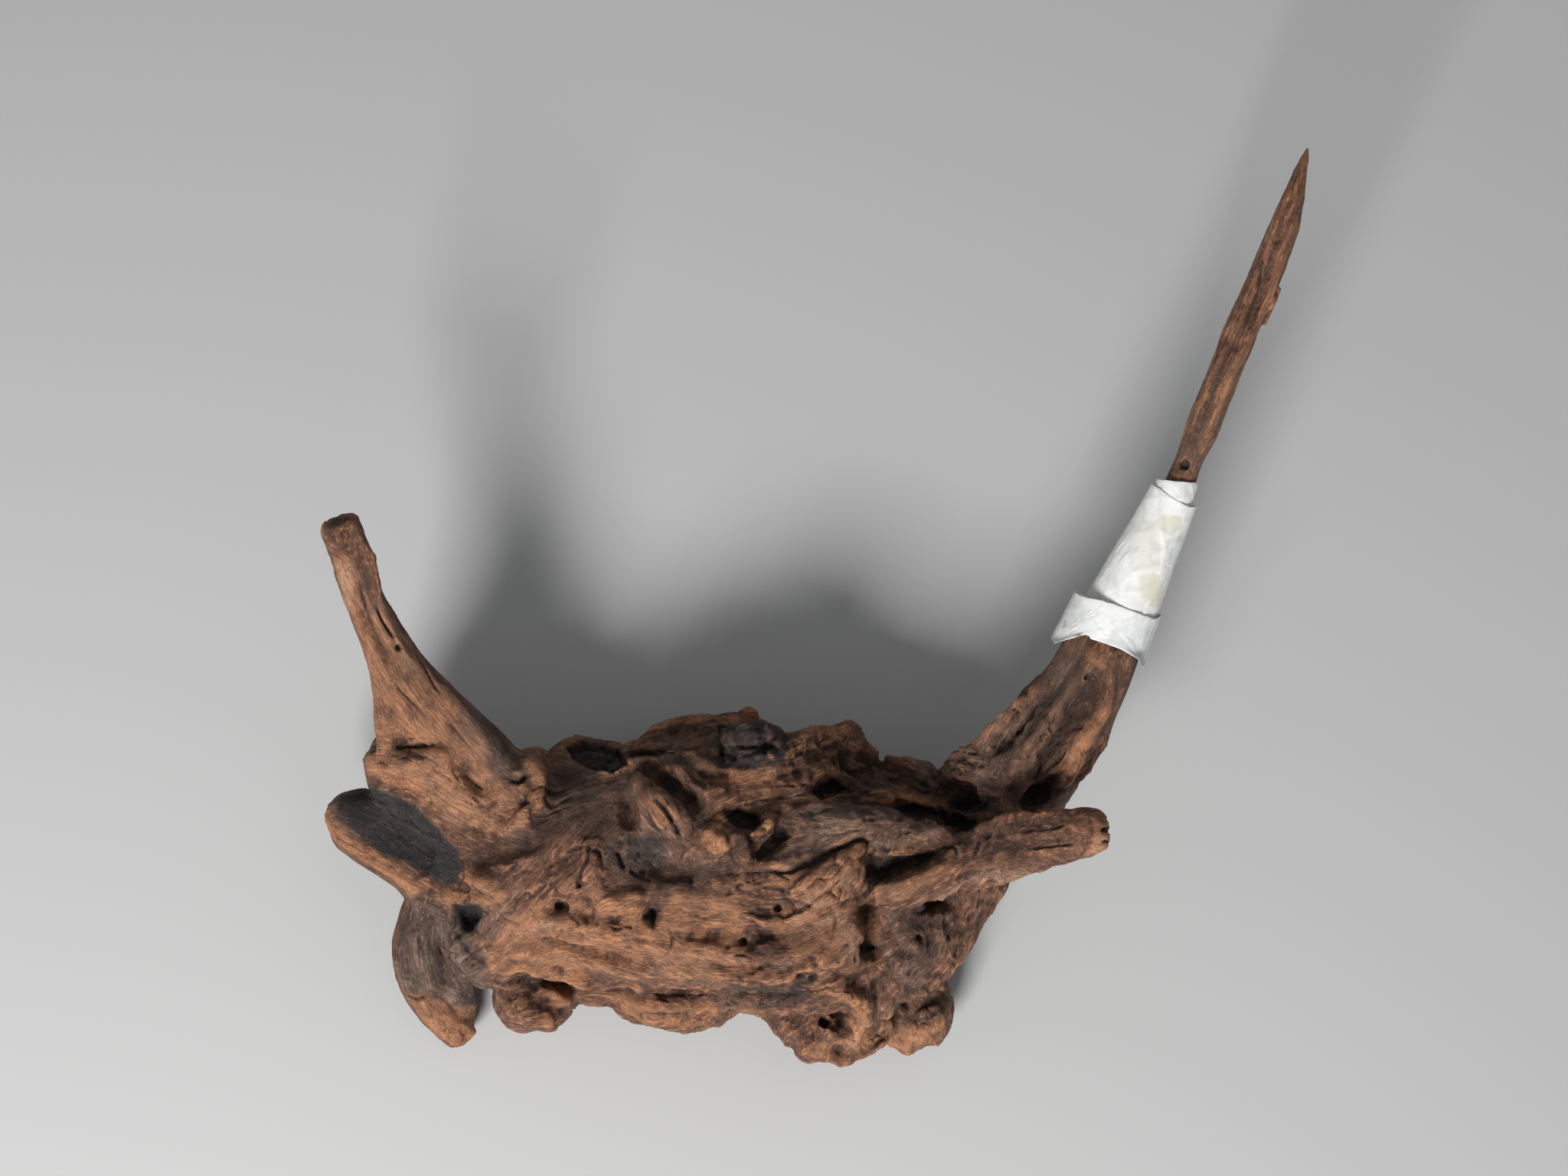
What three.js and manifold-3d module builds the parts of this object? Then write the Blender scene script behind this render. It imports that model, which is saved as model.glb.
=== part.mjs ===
// A piece of driftwood: a gnarled root crown with two long rising roots, a broken stub and several worn feet.
// Three turns of white paper tape are wound round the longest root.
// Millimetres, +Z up. Knots are measured from the left end (x), the near side (y) and the ground (z).
import * as THREE from "three";
import { mergeVertices } from "three/addons/utils/BufferGeometryUtils.js";
import Module from "manifold-3d";

const wasm = await Module();
wasm.setup();

// Driving dimensions.
const TAPE_THICKNESS = 0.6; // a few layers of paper tape wound on each other
const TAPE_GAP = 0.35; // clearance between the wood and the tape, and between two turns of tape
const BAND_SLACK = 4.5; // how far the loose side of the last turn stands off the root
const LOBE_TOP = 91; // height of the weathered face on top of the blackened lobe
const GROUND_SLAB = 120; // thickness of the block that trims the feet flat

const WOOD = new THREE.MeshStandardMaterial({ color: 0x5a3426, roughness: 0.82, metalness: 0 });
const PAPER = new THREE.MeshStandardMaterial({ color: 0xe2e2dc, roughness: 0.9, metalness: 0 });

// Slow ripples that make a section irregular: a share of the radius, periodic in the angle round the section.
function ripple(angle, along, seed) {
  const broad = Math.sin(2 * angle + 1.3 * seed + 3 * along);
  const middle = Math.sin(3 * angle - 2.1 * seed + 7 * along);
  const fine = Math.sin(5 * angle + 0.7 * seed - 11 * along);
  return 0.5 * broad + 0.3 * middle + 0.2 * fine;
}

// A manifold solid from a closed three.js geometry.
function solid(geometry) {
  const bare = geometry.clone();
  bare.deleteAttribute("normal");
  bare.deleteAttribute("uv");
  const merged = mergeVertices(bare, 1e-3);
  return new wasm.Manifold(
    new wasm.Mesh({
      numProp: 3,
      vertProperties: new Float32Array(merged.attributes.position.array),
      triVerts: new Uint32Array(merged.index.array),
    }),
  );
}

// A root: a cylinder bent along a curve, its half width and half depth set at each knot [x, y, z, width, depth].
// The surface stands off by swell all round, and by slack more on the left side.
function root(knots, options = {}) {
  const { sides = 16, steps = 24, relief = 0.07, seed = 1, swell = 0, slack = 0, from = 0, to = 1 } = options;
  const path = new THREE.CatmullRomCurve3(knots.map(([x, y, z]) => new THREE.Vector3(x, y, z)));
  const girth = new THREE.CatmullRomCurve3(knots.map((knot) => new THREE.Vector3(knot[3], knot[4], 0)));
  const geometry = new THREE.CylinderGeometry(1, 1, 1, sides, steps);
  const up = new THREE.Vector3(0, 0, 1);
  const position = geometry.getAttribute("position");
  for (let i = 0; i < position.count; i++) {
    const along = THREE.MathUtils.lerp(from, to, position.getY(i) + 0.5);
    const tangent = path.getTangent(along);
    const side = new THREE.Vector3().crossVectors(tangent, up).normalize();
    const lift = new THREE.Vector3().crossVectors(side, tangent);
    const size = girth.getPoint(along);
    const angle = Math.atan2(position.getZ(i), position.getX(i));
    const uneven = 1 + relief * ripple(angle, along, seed);
    const stand = swell + slack * Math.max(0, -Math.cos(angle));
    const point = path.getPoint(along);
    point.addScaledVector(side, position.getX(i) * (size.x * uneven + stand));
    point.addScaledVector(lift, position.getZ(i) * (size.y * uneven + stand));
    position.setXYZ(i, point.x, point.y, point.z);
  }
  return solid(geometry);
}

// A lobe: an uneven ellipsoid about [x, y, z] with half sizes [a, b, c], tilted, then turned about the vertical.
function lobe([x, y, z], [a, b, c], { turn = 0, tilt = 0, relief = 0.1, seed = 1, detail = 3 } = {}) {
  const geometry = new THREE.IcosahedronGeometry(1, detail);
  const position = geometry.getAttribute("position");
  const point = new THREE.Vector3();
  for (let i = 0; i < position.count; i++) {
    point.fromBufferAttribute(position, i);
    const uneven = 1 + relief * ripple(3 * point.x + 2 * point.z, point.y, seed);
    point.multiplyScalar(uneven);
    position.setXYZ(i, point.x, point.y, point.z);
  }
  geometry.scale(a, b, c);
  geometry.rotateY(THREE.MathUtils.degToRad(tilt));
  geometry.rotateZ(THREE.MathUtils.degToRad(turn));
  geometry.translate(x, y, z);
  return solid(geometry);
}

// A box about [x, y, z], turned about the vertical.
function block([x, y, z], [length, width, height], turn = 0) {
  const geometry = new THREE.BoxGeometry(length, width, height);
  geometry.rotateZ(THREE.MathUtils.degToRad(turn));
  geometry.translate(x, y, z);
  return solid(geometry);
}

const joined = (solids) => solids.reduce((whole, next) => whole.add(next));
const carved = (whole, solids) => solids.reduce((left, next) => left.subtract(next), whole);

// The longest root runs from the near right foot, round the crown's right side, and rises to a point.
const LONG_ROOT = [
  [395, 60, 50, 29, 36],
  [415, 100, 66, 37, 38],
  [437, 142, 84, 41, 36],
  [460, 170, 96, 40, 33],
  [481, 194, 105, 37, 30],
  [503, 221, 118, 33, 27],
  [521, 250, 132, 30.5, 24],
  [534, 278, 143, 27.5, 22],
  [546, 303, 153, 22.5, 20],
  [564, 340, 167, 17.5, 17],
  [577, 369, 178, 13, 13.5],
  [585, 391, 186, 11, 11.5],
  [596, 419, 196, 11, 10.5],
  [612, 460, 209, 11, 10.5],
  [629, 500, 220, 11, 10.5],
  [641, 530, 229, 10.5, 10],
  [650, 556, 236, 7.5, 8],
  [658, 586, 242, 1.8, 2],
];
const longRootOptions = { sides: 18, steps: 46, relief: 0.05, seed: 3 };

// The left root rises from a flattened buttress to a broken end.
const LEFT_ROOT = [
  [118, 140, 70, 46, 40],
  [105, 172, 92, 48, 34],
  [91, 200, 112, 44, 24],
  [78, 228, 130, 32, 19],
  [67, 254, 145, 21, 16.5],
  [55, 280, 160, 14.5, 14],
  [45, 302, 174, 13, 12.5],
  [40, 325, 190, 13.8, 13],
  [34, 347, 206, 12.8, 12],
];

// The crown itself, from the left shoulder to the right one.
const CROWN = [
  [104, 112, 72, 16, 22],
  [138, 118, 76, 56, 52],
  [190, 128, 80, 76, 66],
  [250, 134, 81, 86, 70],
  [310, 128, 81, 90, 68],
  [368, 112, 77, 82, 60],
  [415, 106, 70, 60, 48],
  [448, 110, 66, 22, 26],
];

// The broken stub leaves the crown's top and crosses above the longest root.
const STUB = [
  [340, 112, 96, 22, 26],
  [380, 122, 118, 24, 23],
  [414, 129, 132, 22, 20],
  [440, 135, 140, 20, 17.5],
  [470, 141, 147, 18.5, 16.5],
  [500, 147, 153, 17, 15.5],
  [521, 150, 156, 14.5, 14],
  [531, 150, 157, 9, 9],
];

// The blackened lobe has a flat, weathered top; the near left foot hangs below it.
const BLACK_LOBE = [
  [8, 174, 62, 10, 15],
  [21, 167, 64, 22, 28],
  [41, 156, 66, 26, 31],
  [66, 141, 68, 27, 32],
  [92, 122, 68, 27, 32],
  [118, 104, 66, 20, 25],
];
const LEFT_FOOT = [
  [96, 122, 58, 18, 20],
  [84, 104, 50, 28, 26],
  [79, 77, 40, 32, 28],
  [81, 50, 28, 28, 24],
  [88, 27, 18, 17, 18],
  [94, 13, 12, 8, 12],
];

// Growths that fill out the crown between the roots: place, half sizes, options.
const GROWTHS = [
  [[146, 48, 32], [28, 28, 34], { seed: 1 }], // near side, left of the middle
  [[196, 66, 30], [46, 26, 32], { seed: 9 }],
  [[250, 52, 28], [52, 30, 31], { seed: 2 }], // near side, middle
  [[304, 58, 40], [34, 26, 40], { seed: 8 }],
  [[352, 40, 38], [42, 40, 42], { seed: 3 }], // near right foot
  [[408, 42, 28], [28, 36, 31], { seed: 4 }],
  [[124, 84, 66], [30, 34, 34], { turn: 25, seed: 3 }], // between the near left foot and the crown
  [[182, 192, 46], [34, 30, 48], { seed: 5 }], // far side
  [[272, 200, 46], [58, 40, 52], { seed: 6 }],
  [[340, 194, 52], [38, 34, 55], { seed: 7 }],
  [[364, 210, 76], [17, 20, 24], { seed: 8 }], // the knob on the far side
  [[398, 174, 62], [40, 30, 44], { seed: 1 }],
  [[142, 180, 86], [34, 30, 40], { seed: 2 }], // the collar round the left root
  [[60, 195, 92], [25, 30, 30], { turn: 20, seed: 4 }], // the skirt left of the left root
  [[252, 176, 130], [26, 20, 20], { turn: -50, seed: 5 }], // a plate that stands up from the middle
  [[300, 206, 108], [26, 18, 22], { seed: 3 }], // the charred lump on the far side
  [[330, 96, 128], [46, 16, 18], { turn: 24, tilt: -8, seed: 6 }], // the ridge that runs into the stub
  [[230, 74, 104], [64, 20, 20], { turn: -4, seed: 7 }], // the shelf along the near side
  [[366, 66, 92], [24, 26, 24], { seed: 5 }], // the crest above the near right foot
];

// Hollows that the weather and rot have cut into it.
const HOLLOWS = [
  [[196, 228, 74], [22, 17, 20], { detail: 2, seed: 4 }], // far side
  [[314, 234, 74], [20, 16, 18], { detail: 2, seed: 5 }],
  [[420, 178, 118], [30, 15, 22], { turn: -8, detail: 2, seed: 6 }], // beside the stub
  [[372, 196, 112], [22, 10, 18], { turn: -12, detail: 2, seed: 2 }],
  [[248, 28, 66], [60, 16, 12], { turn: -2, detail: 2, seed: 7 }], // under the near shelf
  [[250, 122, -4], [112, 46, 30], { detail: 4, seed: 3 }], // the arch under the crown
  [[118, 84, -2], [26, 66, 24], { turn: -20, detail: 2, seed: 5 }], // between the near left foot and the crown
];

function woodSolid() {
  const roots = [
    root(CROWN, { sides: 22, steps: 20, relief: 0.06, seed: 2 }),
    root(LONG_ROOT, longRootOptions),
    root(LEFT_ROOT, { sides: 18, steps: 26, relief: 0.06, seed: 5 }),
    root(STUB, { sides: 16, steps: 18, relief: 0.08, seed: 4 }),
    root(BLACK_LOBE, { sides: 16, steps: 14, relief: 0.05, seed: 6 }),
    root(LEFT_FOOT, { sides: 16, steps: 14, relief: 0.08, seed: 7 }),
  ];
  const growths = GROWTHS.map(([place, half, options]) => lobe(place, half, options));
  const hollows = HOLLOWS.map(([place, half, options]) => lobe(place, half, options));
  const ground = block([250, 140, -GROUND_SLAB / 2], [900, 700, GROUND_SLAB]);
  const weathering = block([33, 152, LOBE_TOP + 20], [104, 44, 40], -31);
  return carved(joined([...roots, ...growths]), [...hollows, weathering, ground]);
}

// A turn of tape: a sleeve that follows the longest root between two knots, standing clear of what is under it.
function tapeTurn(fromKnot, toKnot, layer, steps, slack = 0) {
  const last = LONG_ROOT.length - 1;
  const clear = TAPE_GAP + layer * (TAPE_GAP + TAPE_THICKNESS);
  const overrun = 0.2 / last;
  const sleeve = { ...longRootOptions, steps, slack };
  const from = fromKnot / last;
  const to = toKnot / last;
  const outside = root(LONG_ROOT, { ...sleeve, swell: clear + TAPE_THICKNESS, from, to });
  const inside = root(LONG_ROOT, { ...sleeve, swell: clear, from: from - overrun, to: to + overrun });
  return outside.subtract(inside);
}

// A three.js mesh from a manifold solid.
function mesh(name, manifold, material) {
  const { numProp, numVert, vertProperties, triVerts } = manifold.getMesh();
  const position = new Float32Array(numVert * 3);
  for (let i = 0; i < numVert; i++) {
    position.set(vertProperties.subarray(i * numProp, i * numProp + 3), 3 * i);
  }
  const geometry = new THREE.BufferGeometry();
  geometry.setAttribute("position", new THREE.BufferAttribute(position, 3));
  geometry.setIndex(new THREE.BufferAttribute(triVerts, 1));
  geometry.computeVertexNormals();
  const made = new THREE.Mesh(geometry, material);
  made.name = name;
  return made;
}

// Each turn of tape starts and ends at a knot number along the longest root.
const driftwood = new THREE.Group();
driftwood.add(mesh("driftwood", woodSolid(), WOOD));
driftwood.add(mesh("inner_tape", tapeTurn(8.8, 10.75, 0, 6), PAPER));
driftwood.add(mesh("long_tape", tapeTurn(7.4, 10.35, 1, 9), PAPER));
driftwood.add(mesh("lower_tape", tapeTurn(6.75, 8.1, 2, 5, BAND_SLACK), PAPER));

// The group stands on the ground, centred on its bounding box.
const bounds = new THREE.Box3().setFromObject(driftwood);
const middle = bounds.getCenter(new THREE.Vector3());
driftwood.position.set(-middle.x, -middle.y, -bounds.min.z);

export default driftwood;
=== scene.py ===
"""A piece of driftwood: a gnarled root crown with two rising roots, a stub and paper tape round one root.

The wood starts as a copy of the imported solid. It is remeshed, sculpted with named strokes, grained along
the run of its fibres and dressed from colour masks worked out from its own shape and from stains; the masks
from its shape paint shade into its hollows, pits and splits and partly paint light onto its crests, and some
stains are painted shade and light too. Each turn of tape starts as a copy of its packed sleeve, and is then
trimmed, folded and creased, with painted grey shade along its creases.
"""

import logging
import math
from dataclasses import dataclass, field
from enum import Enum
from itertools import product

import bpy
import numpy as np
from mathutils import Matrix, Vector
from mathutils.bvhtree import BVHTree


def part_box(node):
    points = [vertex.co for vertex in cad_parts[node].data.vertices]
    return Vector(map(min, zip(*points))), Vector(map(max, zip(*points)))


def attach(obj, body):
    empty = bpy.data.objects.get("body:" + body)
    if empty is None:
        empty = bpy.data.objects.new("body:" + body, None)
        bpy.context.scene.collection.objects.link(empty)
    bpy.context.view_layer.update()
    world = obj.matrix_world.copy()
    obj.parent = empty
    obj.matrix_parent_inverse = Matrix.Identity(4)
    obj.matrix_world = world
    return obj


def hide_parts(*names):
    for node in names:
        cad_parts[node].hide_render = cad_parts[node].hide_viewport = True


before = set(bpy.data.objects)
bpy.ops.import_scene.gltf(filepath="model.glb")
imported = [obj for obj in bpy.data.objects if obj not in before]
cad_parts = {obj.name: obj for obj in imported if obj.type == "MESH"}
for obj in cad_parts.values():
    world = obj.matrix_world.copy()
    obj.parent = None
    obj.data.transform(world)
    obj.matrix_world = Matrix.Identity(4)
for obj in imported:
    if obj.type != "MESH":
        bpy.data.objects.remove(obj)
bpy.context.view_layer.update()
WOOD_LOW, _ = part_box("driftwood")

MM = 0.001
LEFT_EDGE = 2.8 * MM  # where the piece's left end lies on its own ruler
NEAR_EDGE = -1.2 * MM  # where its near side lies
RULER_START = np.array([WOOD_LOW.x - LEFT_EDGE, WOOD_LOW.y - NEAR_EDGE, 0.0])
log = logging.getLogger("driftwood")

Array = np.ndarray
Spot = tuple[float, float]
Colour = tuple[float, float, float]
Socket = bpy.types.NodeSocket


# ---------------------------------------------------------------- rulers and noise


def on_ruler(points: Array) -> Array:
    """Turn places on the piece's own ruler, in millimetres, into the frame's metres.

    Args:
        points: Rows of x from the left end, y from the near side and z from the ground.

    Returns:
        The same rows in the frame.
    """
    return np.asarray(points, float) * MM + RULER_START


def smooth_step(low: float, high: float, value: Array) -> Array:
    """Ease from 0 at low to 1 at high."""
    part = np.clip((value - low) / (high - low), 0.0, 1.0)
    return part * part * (3.0 - 2.0 * part)


def noise(points: Array, seed: int) -> Array:
    """Smooth random values between -1 and 1, one lattice cell per unit.

    Args:
        points: Rows of three coordinates.
        seed: Which field to read.

    Returns:
        One value for each row.
    """
    cell = np.floor(points).astype(np.int64)
    part = points - cell
    ease = part * part * part * (part * (part * 6.0 - 15.0) + 10.0)
    total = np.zeros(len(points))
    for corner in product((0, 1), repeat=3):
        at = cell + np.array(corner)
        key = (at[:, 0] * 73856093) ^ (at[:, 1] * 19349663) ^ (at[:, 2] * 83492791) ^ (seed * 2654435761)
        key = (key ^ (key >> 13)) * 1274126177 & 0x7FFFFFFF
        key = (key ^ (key >> 16)) & 0xFFFF
        weight = np.prod(np.where(np.array(corner) == 1, ease, 1.0 - ease), axis=1)
        total += weight * (key / 32767.5 - 1.0)
    return total


def layered_noise(points: Array, seed: int, octaves: int = 3, ridged: bool = False) -> Array:
    """Sum noise at doubling scales, either soft or with sharp crests.

    Args:
        points: Rows of three coordinates, one cell of the broadest layer per unit.
        seed: Which field to read.
        octaves: How many layers are added.
        ridged: Whether each layer is folded into crests.

    Returns:
        One value for each row, between about -1 and 1.
    """
    total = np.zeros(len(points))
    share = 0.0
    for octave in range(octaves):
        layer = noise(points * 2.0**octave, seed + 17 * octave)
        if ridged:
            layer = 1.0 - 2.0 * np.abs(layer)
        total += layer * 0.5**octave
        share += 0.5**octave
    return total / share


# ---------------------------------------------------------------- meshes as arrays


class Surface:
    """A mesh object's vertices, normals and neighbours as arrays, for sculpting in code."""

    def __init__(self, piece: bpy.types.Object) -> None:
        """Read the object's mesh."""
        self.piece = piece
        mesh = piece.data
        self.places = np.empty(len(mesh.vertices) * 3)
        mesh.vertices.foreach_get("co", self.places)
        self.places = self.places.reshape(-1, 3)
        edges = np.empty(len(mesh.edges) * 2, np.int64)
        mesh.edges.foreach_get("vertices", edges)
        self.edges = edges.reshape(-1, 2)
        self.degree = np.bincount(self.edges.ravel(), minlength=len(self.places)).clip(min=1)
        self.normals = self._read_normals()

    def _read_normals(self) -> Array:
        """Read the vertex normals."""
        normals = np.empty(len(self.places) * 3)
        self.piece.data.vertex_normals.foreach_get("vector", normals)
        return normals.reshape(-1, 3)

    def store(self) -> None:
        """Write the moved vertices back and read the new normals."""
        self.piece.data.vertices.foreach_set("co", self.places.ravel())
        self.piece.data.update()
        self.normals = self._read_normals()

    def average(self, values: Array, rounds: int) -> Array:
        """Blur values over the surface by averaging each vertex with its neighbours.

        Args:
            values: One number, or one row, for each vertex.
            rounds: How many times to average.

        Returns:
            The blurred values.
        """
        blurred = np.array(values, float)
        rows = blurred.reshape(len(self.places), -1)
        first, second = self.edges[:, 0], self.edges[:, 1]
        for _ in range(rounds):
            for column in range(rows.shape[1]):
                sums = np.bincount(first, rows[second, column], len(rows))
                sums += np.bincount(second, rows[first, column], len(rows))
                rows[:, column] = 0.5 * rows[:, column] + 0.5 * sums / self.degree
        return rows.reshape(blurred.shape)

    def relief(self, rounds: int) -> Array:
        """Measure how far each vertex stands proud of its blurred surroundings.

        Args:
            rounds: How far the surroundings reach, in rounds of averaging.

        Returns:
            Metres, above zero on crests and below zero in hollows.
        """
        return np.einsum("ij,ij->i", self.places - self.average(self.places, rounds), self.normals)

    def tree(self) -> BVHTree:
        """Build a tree for casting rays at the surface as it is now."""
        mesh = self.piece.data
        faces = [tuple(polygon.vertices) for polygon in mesh.polygons]
        return BVHTree.FromPolygons([Vector(row) for row in self.places], faces)


def along_line(points: Array, line: Array) -> tuple[Array, Array, Array, Array]:
    """Find where each point lies beside a polyline.

    Args:
        points: Rows of places.
        line: Rows of the polyline's corners.

    Returns:
        The distance, the length run along the line, the nearest place on it and the line's direction there.
    """
    distance = np.full(len(points), np.inf)
    run = np.zeros(len(points))
    nearest = np.zeros((len(points), 3))
    heading = np.zeros((len(points), 3))
    done = 0.0
    for start, end in zip(line[:-1], line[1:]):
        step = end - start
        length = float(np.linalg.norm(step))
        share = np.clip((points - start) @ step / length**2, 0.0, 1.0)
        place = start + share[:, None] * step
        gap = np.linalg.norm(points - place, axis=1)
        closer = gap < distance
        distance[closer] = gap[closer]
        run[closer] = done + share[closer] * length
        nearest[closer] = place[closer]
        heading[closer] = step / length
        done += length
    return distance, run, nearest, heading


# ---------------------------------------------------------------- sculpting


RAGGEDNESS = 0.16  # how unevenly a stroke's edge runs
FAINT = 0.002  # the least share of a stroke that still moves the surface
RIM_MARGIN = 6.0 * MM  # how far outside its outline a patch is still measured
RIM_DROP = 45.0 * MM  # how far below its outline a patch may reach


class Tool(Enum):
    """What a stroke does to the surface."""

    RIDGE = "a rounded ridge or bump"
    GOUGE = "a rounded groove or dent"
    HOLE = "a pit with steep walls"
    CRACK = "a narrow split"
    PLATE = "a raised patch with a sharp rim; the path is its outline"
    PIT = "a sunk patch with steep walls; the path is its outline"


@dataclass(frozen=True)
class Stroke:
    """One pass of a sculpting tool over the side of the wood that faces the sky.

    Attributes:
        tool: What the stroke does.
        width: Half the stroke's width or, inside an outline, how wide the slope at its rim is, in
            millimetres.
        depth: How far the surface moves, in millimetres.
        path: Places on the piece's own ruler, in millimetres.
    """

    tool: Tool
    width: float
    depth: float
    path: tuple[Spot, ...]

    def profile(self, surface: Surface, tree: BVHTree) -> tuple[Array, Array, Array]:
        """Work out which vertices move, and how far.

        Args:
            surface: The surface that is worked on.
            tree: Its ray tree.

        Returns:
            Vertex numbers, the share of the full depth at each, and the stroke's own outward direction.
        """
        line, outward = project(self.path, tree)
        if self.tool in (Tool.PLATE, Tool.PIT):
            inside = inside_outline(surface, line)
            share = smooth_step(0.0, self.width * MM, inside)
            moved = np.where(share > FAINT)[0]
            return moved, share[moved], outward
        reach = self.width * MM
        low = line.min(axis=0) - reach
        high = line.max(axis=0) + reach
        near = np.where(((surface.places >= low) & (surface.places <= high)).all(axis=1))[0]
        near = near[surface.normals[near] @ outward > -0.3]
        if len(line) == 1:
            line = np.vstack([line, line + [1e-6, 0.0, 0.0]])
        distance, run, nearest, heading = along_line(surface.places[near], line)
        length = float(np.linalg.norm(np.diff(line, axis=0), axis=1).sum())
        ragged = noise(surface.places[near] / (0.7 * reach + 1.5 * MM), 61)
        offset = distance / reach * (1.0 + RAGGEDNESS * ragged)
        share = self._across(offset)
        if length > 2 * reach:
            ends = np.minimum(run, length - run) / (0.3 * length)
            share = share * (0.35 + 0.65 * smooth_step(0.0, 1.0, ends))
        moved = share > FAINT
        return near[moved], share[moved], outward

    def _across(self, offset: Array) -> Array:
        """Give the tool's cross-section, from 1 at full depth to 0 at the stroke's edge."""
        inside = np.clip(1.0 - offset, 0.0, 1.0)
        if self.tool is Tool.HOLE:
            return smooth_step(0.0, 0.55, inside)
        if self.tool is Tool.CRACK:
            return inside**1.3
        return (1.0 - np.clip(offset, 0.0, 1.0) ** 2) ** 2


def inside_outline(surface: Surface, rim: Array) -> Array:
    """Measure how far inside an outline each vertex lies, seen from above.

    Args:
        surface: The surface that the outline lies on.
        rim: Rows of the outline's corners.

    Returns:
        Metres, above zero inside and below zero outside; far below zero on the surface's other sides.
    """
    depth = np.full(len(surface.places), -1.0)
    low = rim.min(axis=0) - RIM_MARGIN
    high = rim.max(axis=0) + RIM_MARGIN
    low[2] -= RIM_DROP
    near = ((surface.places >= low) & (surface.places <= high)).all(axis=1)
    near = np.where(near & (surface.normals[:, 2] > -0.2))[0]
    x, y = surface.places[near, 0], surface.places[near, 1]
    gap = np.full(len(near), np.inf)
    within = np.zeros(len(near), bool)
    for start, end in zip(rim, np.roll(rim, -1, axis=0)):
        side = end[:2] - start[:2]
        along = (x - start[0]) * side[0] + (y - start[1]) * side[1]
        share = np.clip(along / (side @ side + 1e-12), 0.0, 1.0)
        gap = np.minimum(gap, np.hypot(x - start[0] - share * side[0], y - start[1] - share * side[1]))
        crosses = (start[1] > y) != (end[1] > y)
        rise = side[1] if abs(side[1]) > 1e-9 else 1e-9
        within ^= crosses & (x < start[0] + side[0] * (y - start[1]) / rise)
    ragged = 1.6 * MM * layered_noise(surface.places[near] / (5 * MM), 67, 2)
    depth[near] = np.where(within, gap, -gap) + ragged
    return depth


def project(path: tuple[Spot, ...], tree: BVHTree) -> tuple[Array, Array]:
    """Drop a path onto the surface from above.

    Args:
        path: Places on the piece's own ruler, in millimetres.
        tree: The surface's ray tree.

    Returns:
        The places where the path lands, and the mean outward direction there.
    """
    spots = on_ruler([(x, y, 400.0) for x, y in path])
    places = []
    facing = Vector((0.0, 0.0, 0.0))
    for spot in spots:
        hit, normal, _, _ = tree.ray_cast(Vector(spot), Vector((0.0, 0.0, -1.0)))
        if hit is None:
            hit, normal, _, _ = tree.find_nearest(Vector((spot[0], spot[1], 0.08)))
        places.append(np.array((spot[0], spot[1], hit.z)))
        facing += normal
    facing.z += 0.5 * len(spots)
    return np.array(places), np.array(facing.normalized())


def carve(surface: Surface, strokes: list[Stroke], force: float = 1.0) -> Array:
    """Work a list of strokes into a surface, one after another.

    Args:
        surface: The surface that is worked on.
        strokes: The strokes, in order.
        force: A factor on every stroke's depth.

    Returns:
        How deep in a pit or a split each vertex lies, from 0 to 1.
    """
    tree = surface.tree()
    shift = np.zeros_like(surface.places)
    shade = np.zeros(len(surface.places))
    for stroke in strokes:
        chosen, share, outward = stroke.profile(surface, tree)
        sign = 1.0 if stroke.tool in (Tool.RIDGE, Tool.PLATE) else -1.0
        heading = 0.55 * outward + 0.45 * surface.normals[chosen]
        shift[chosen] += sign * force * stroke.depth * MM * share[:, None] * heading
        if stroke.tool in (Tool.HOLE, Tool.CRACK, Tool.PIT):
            shade[chosen] = np.maximum(shade[chosen], share)
    surface.places += shift
    surface.store()
    return shade


# ---------------------------------------------------------------- grain


GRAIN_LAYERS = 3  # how many grain patterns are blended over the wood


@dataclass(frozen=True)
class Fibre:
    """One line that the wood's fibres run along.

    Attributes:
        gnarl: How gnarled the wood beside it is, from 0 for a clean root to 1 for the crown.
        path: Places on the piece's own ruler, in millimetres.
    """

    gnarl: float
    path: tuple[Spot, ...]


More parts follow.
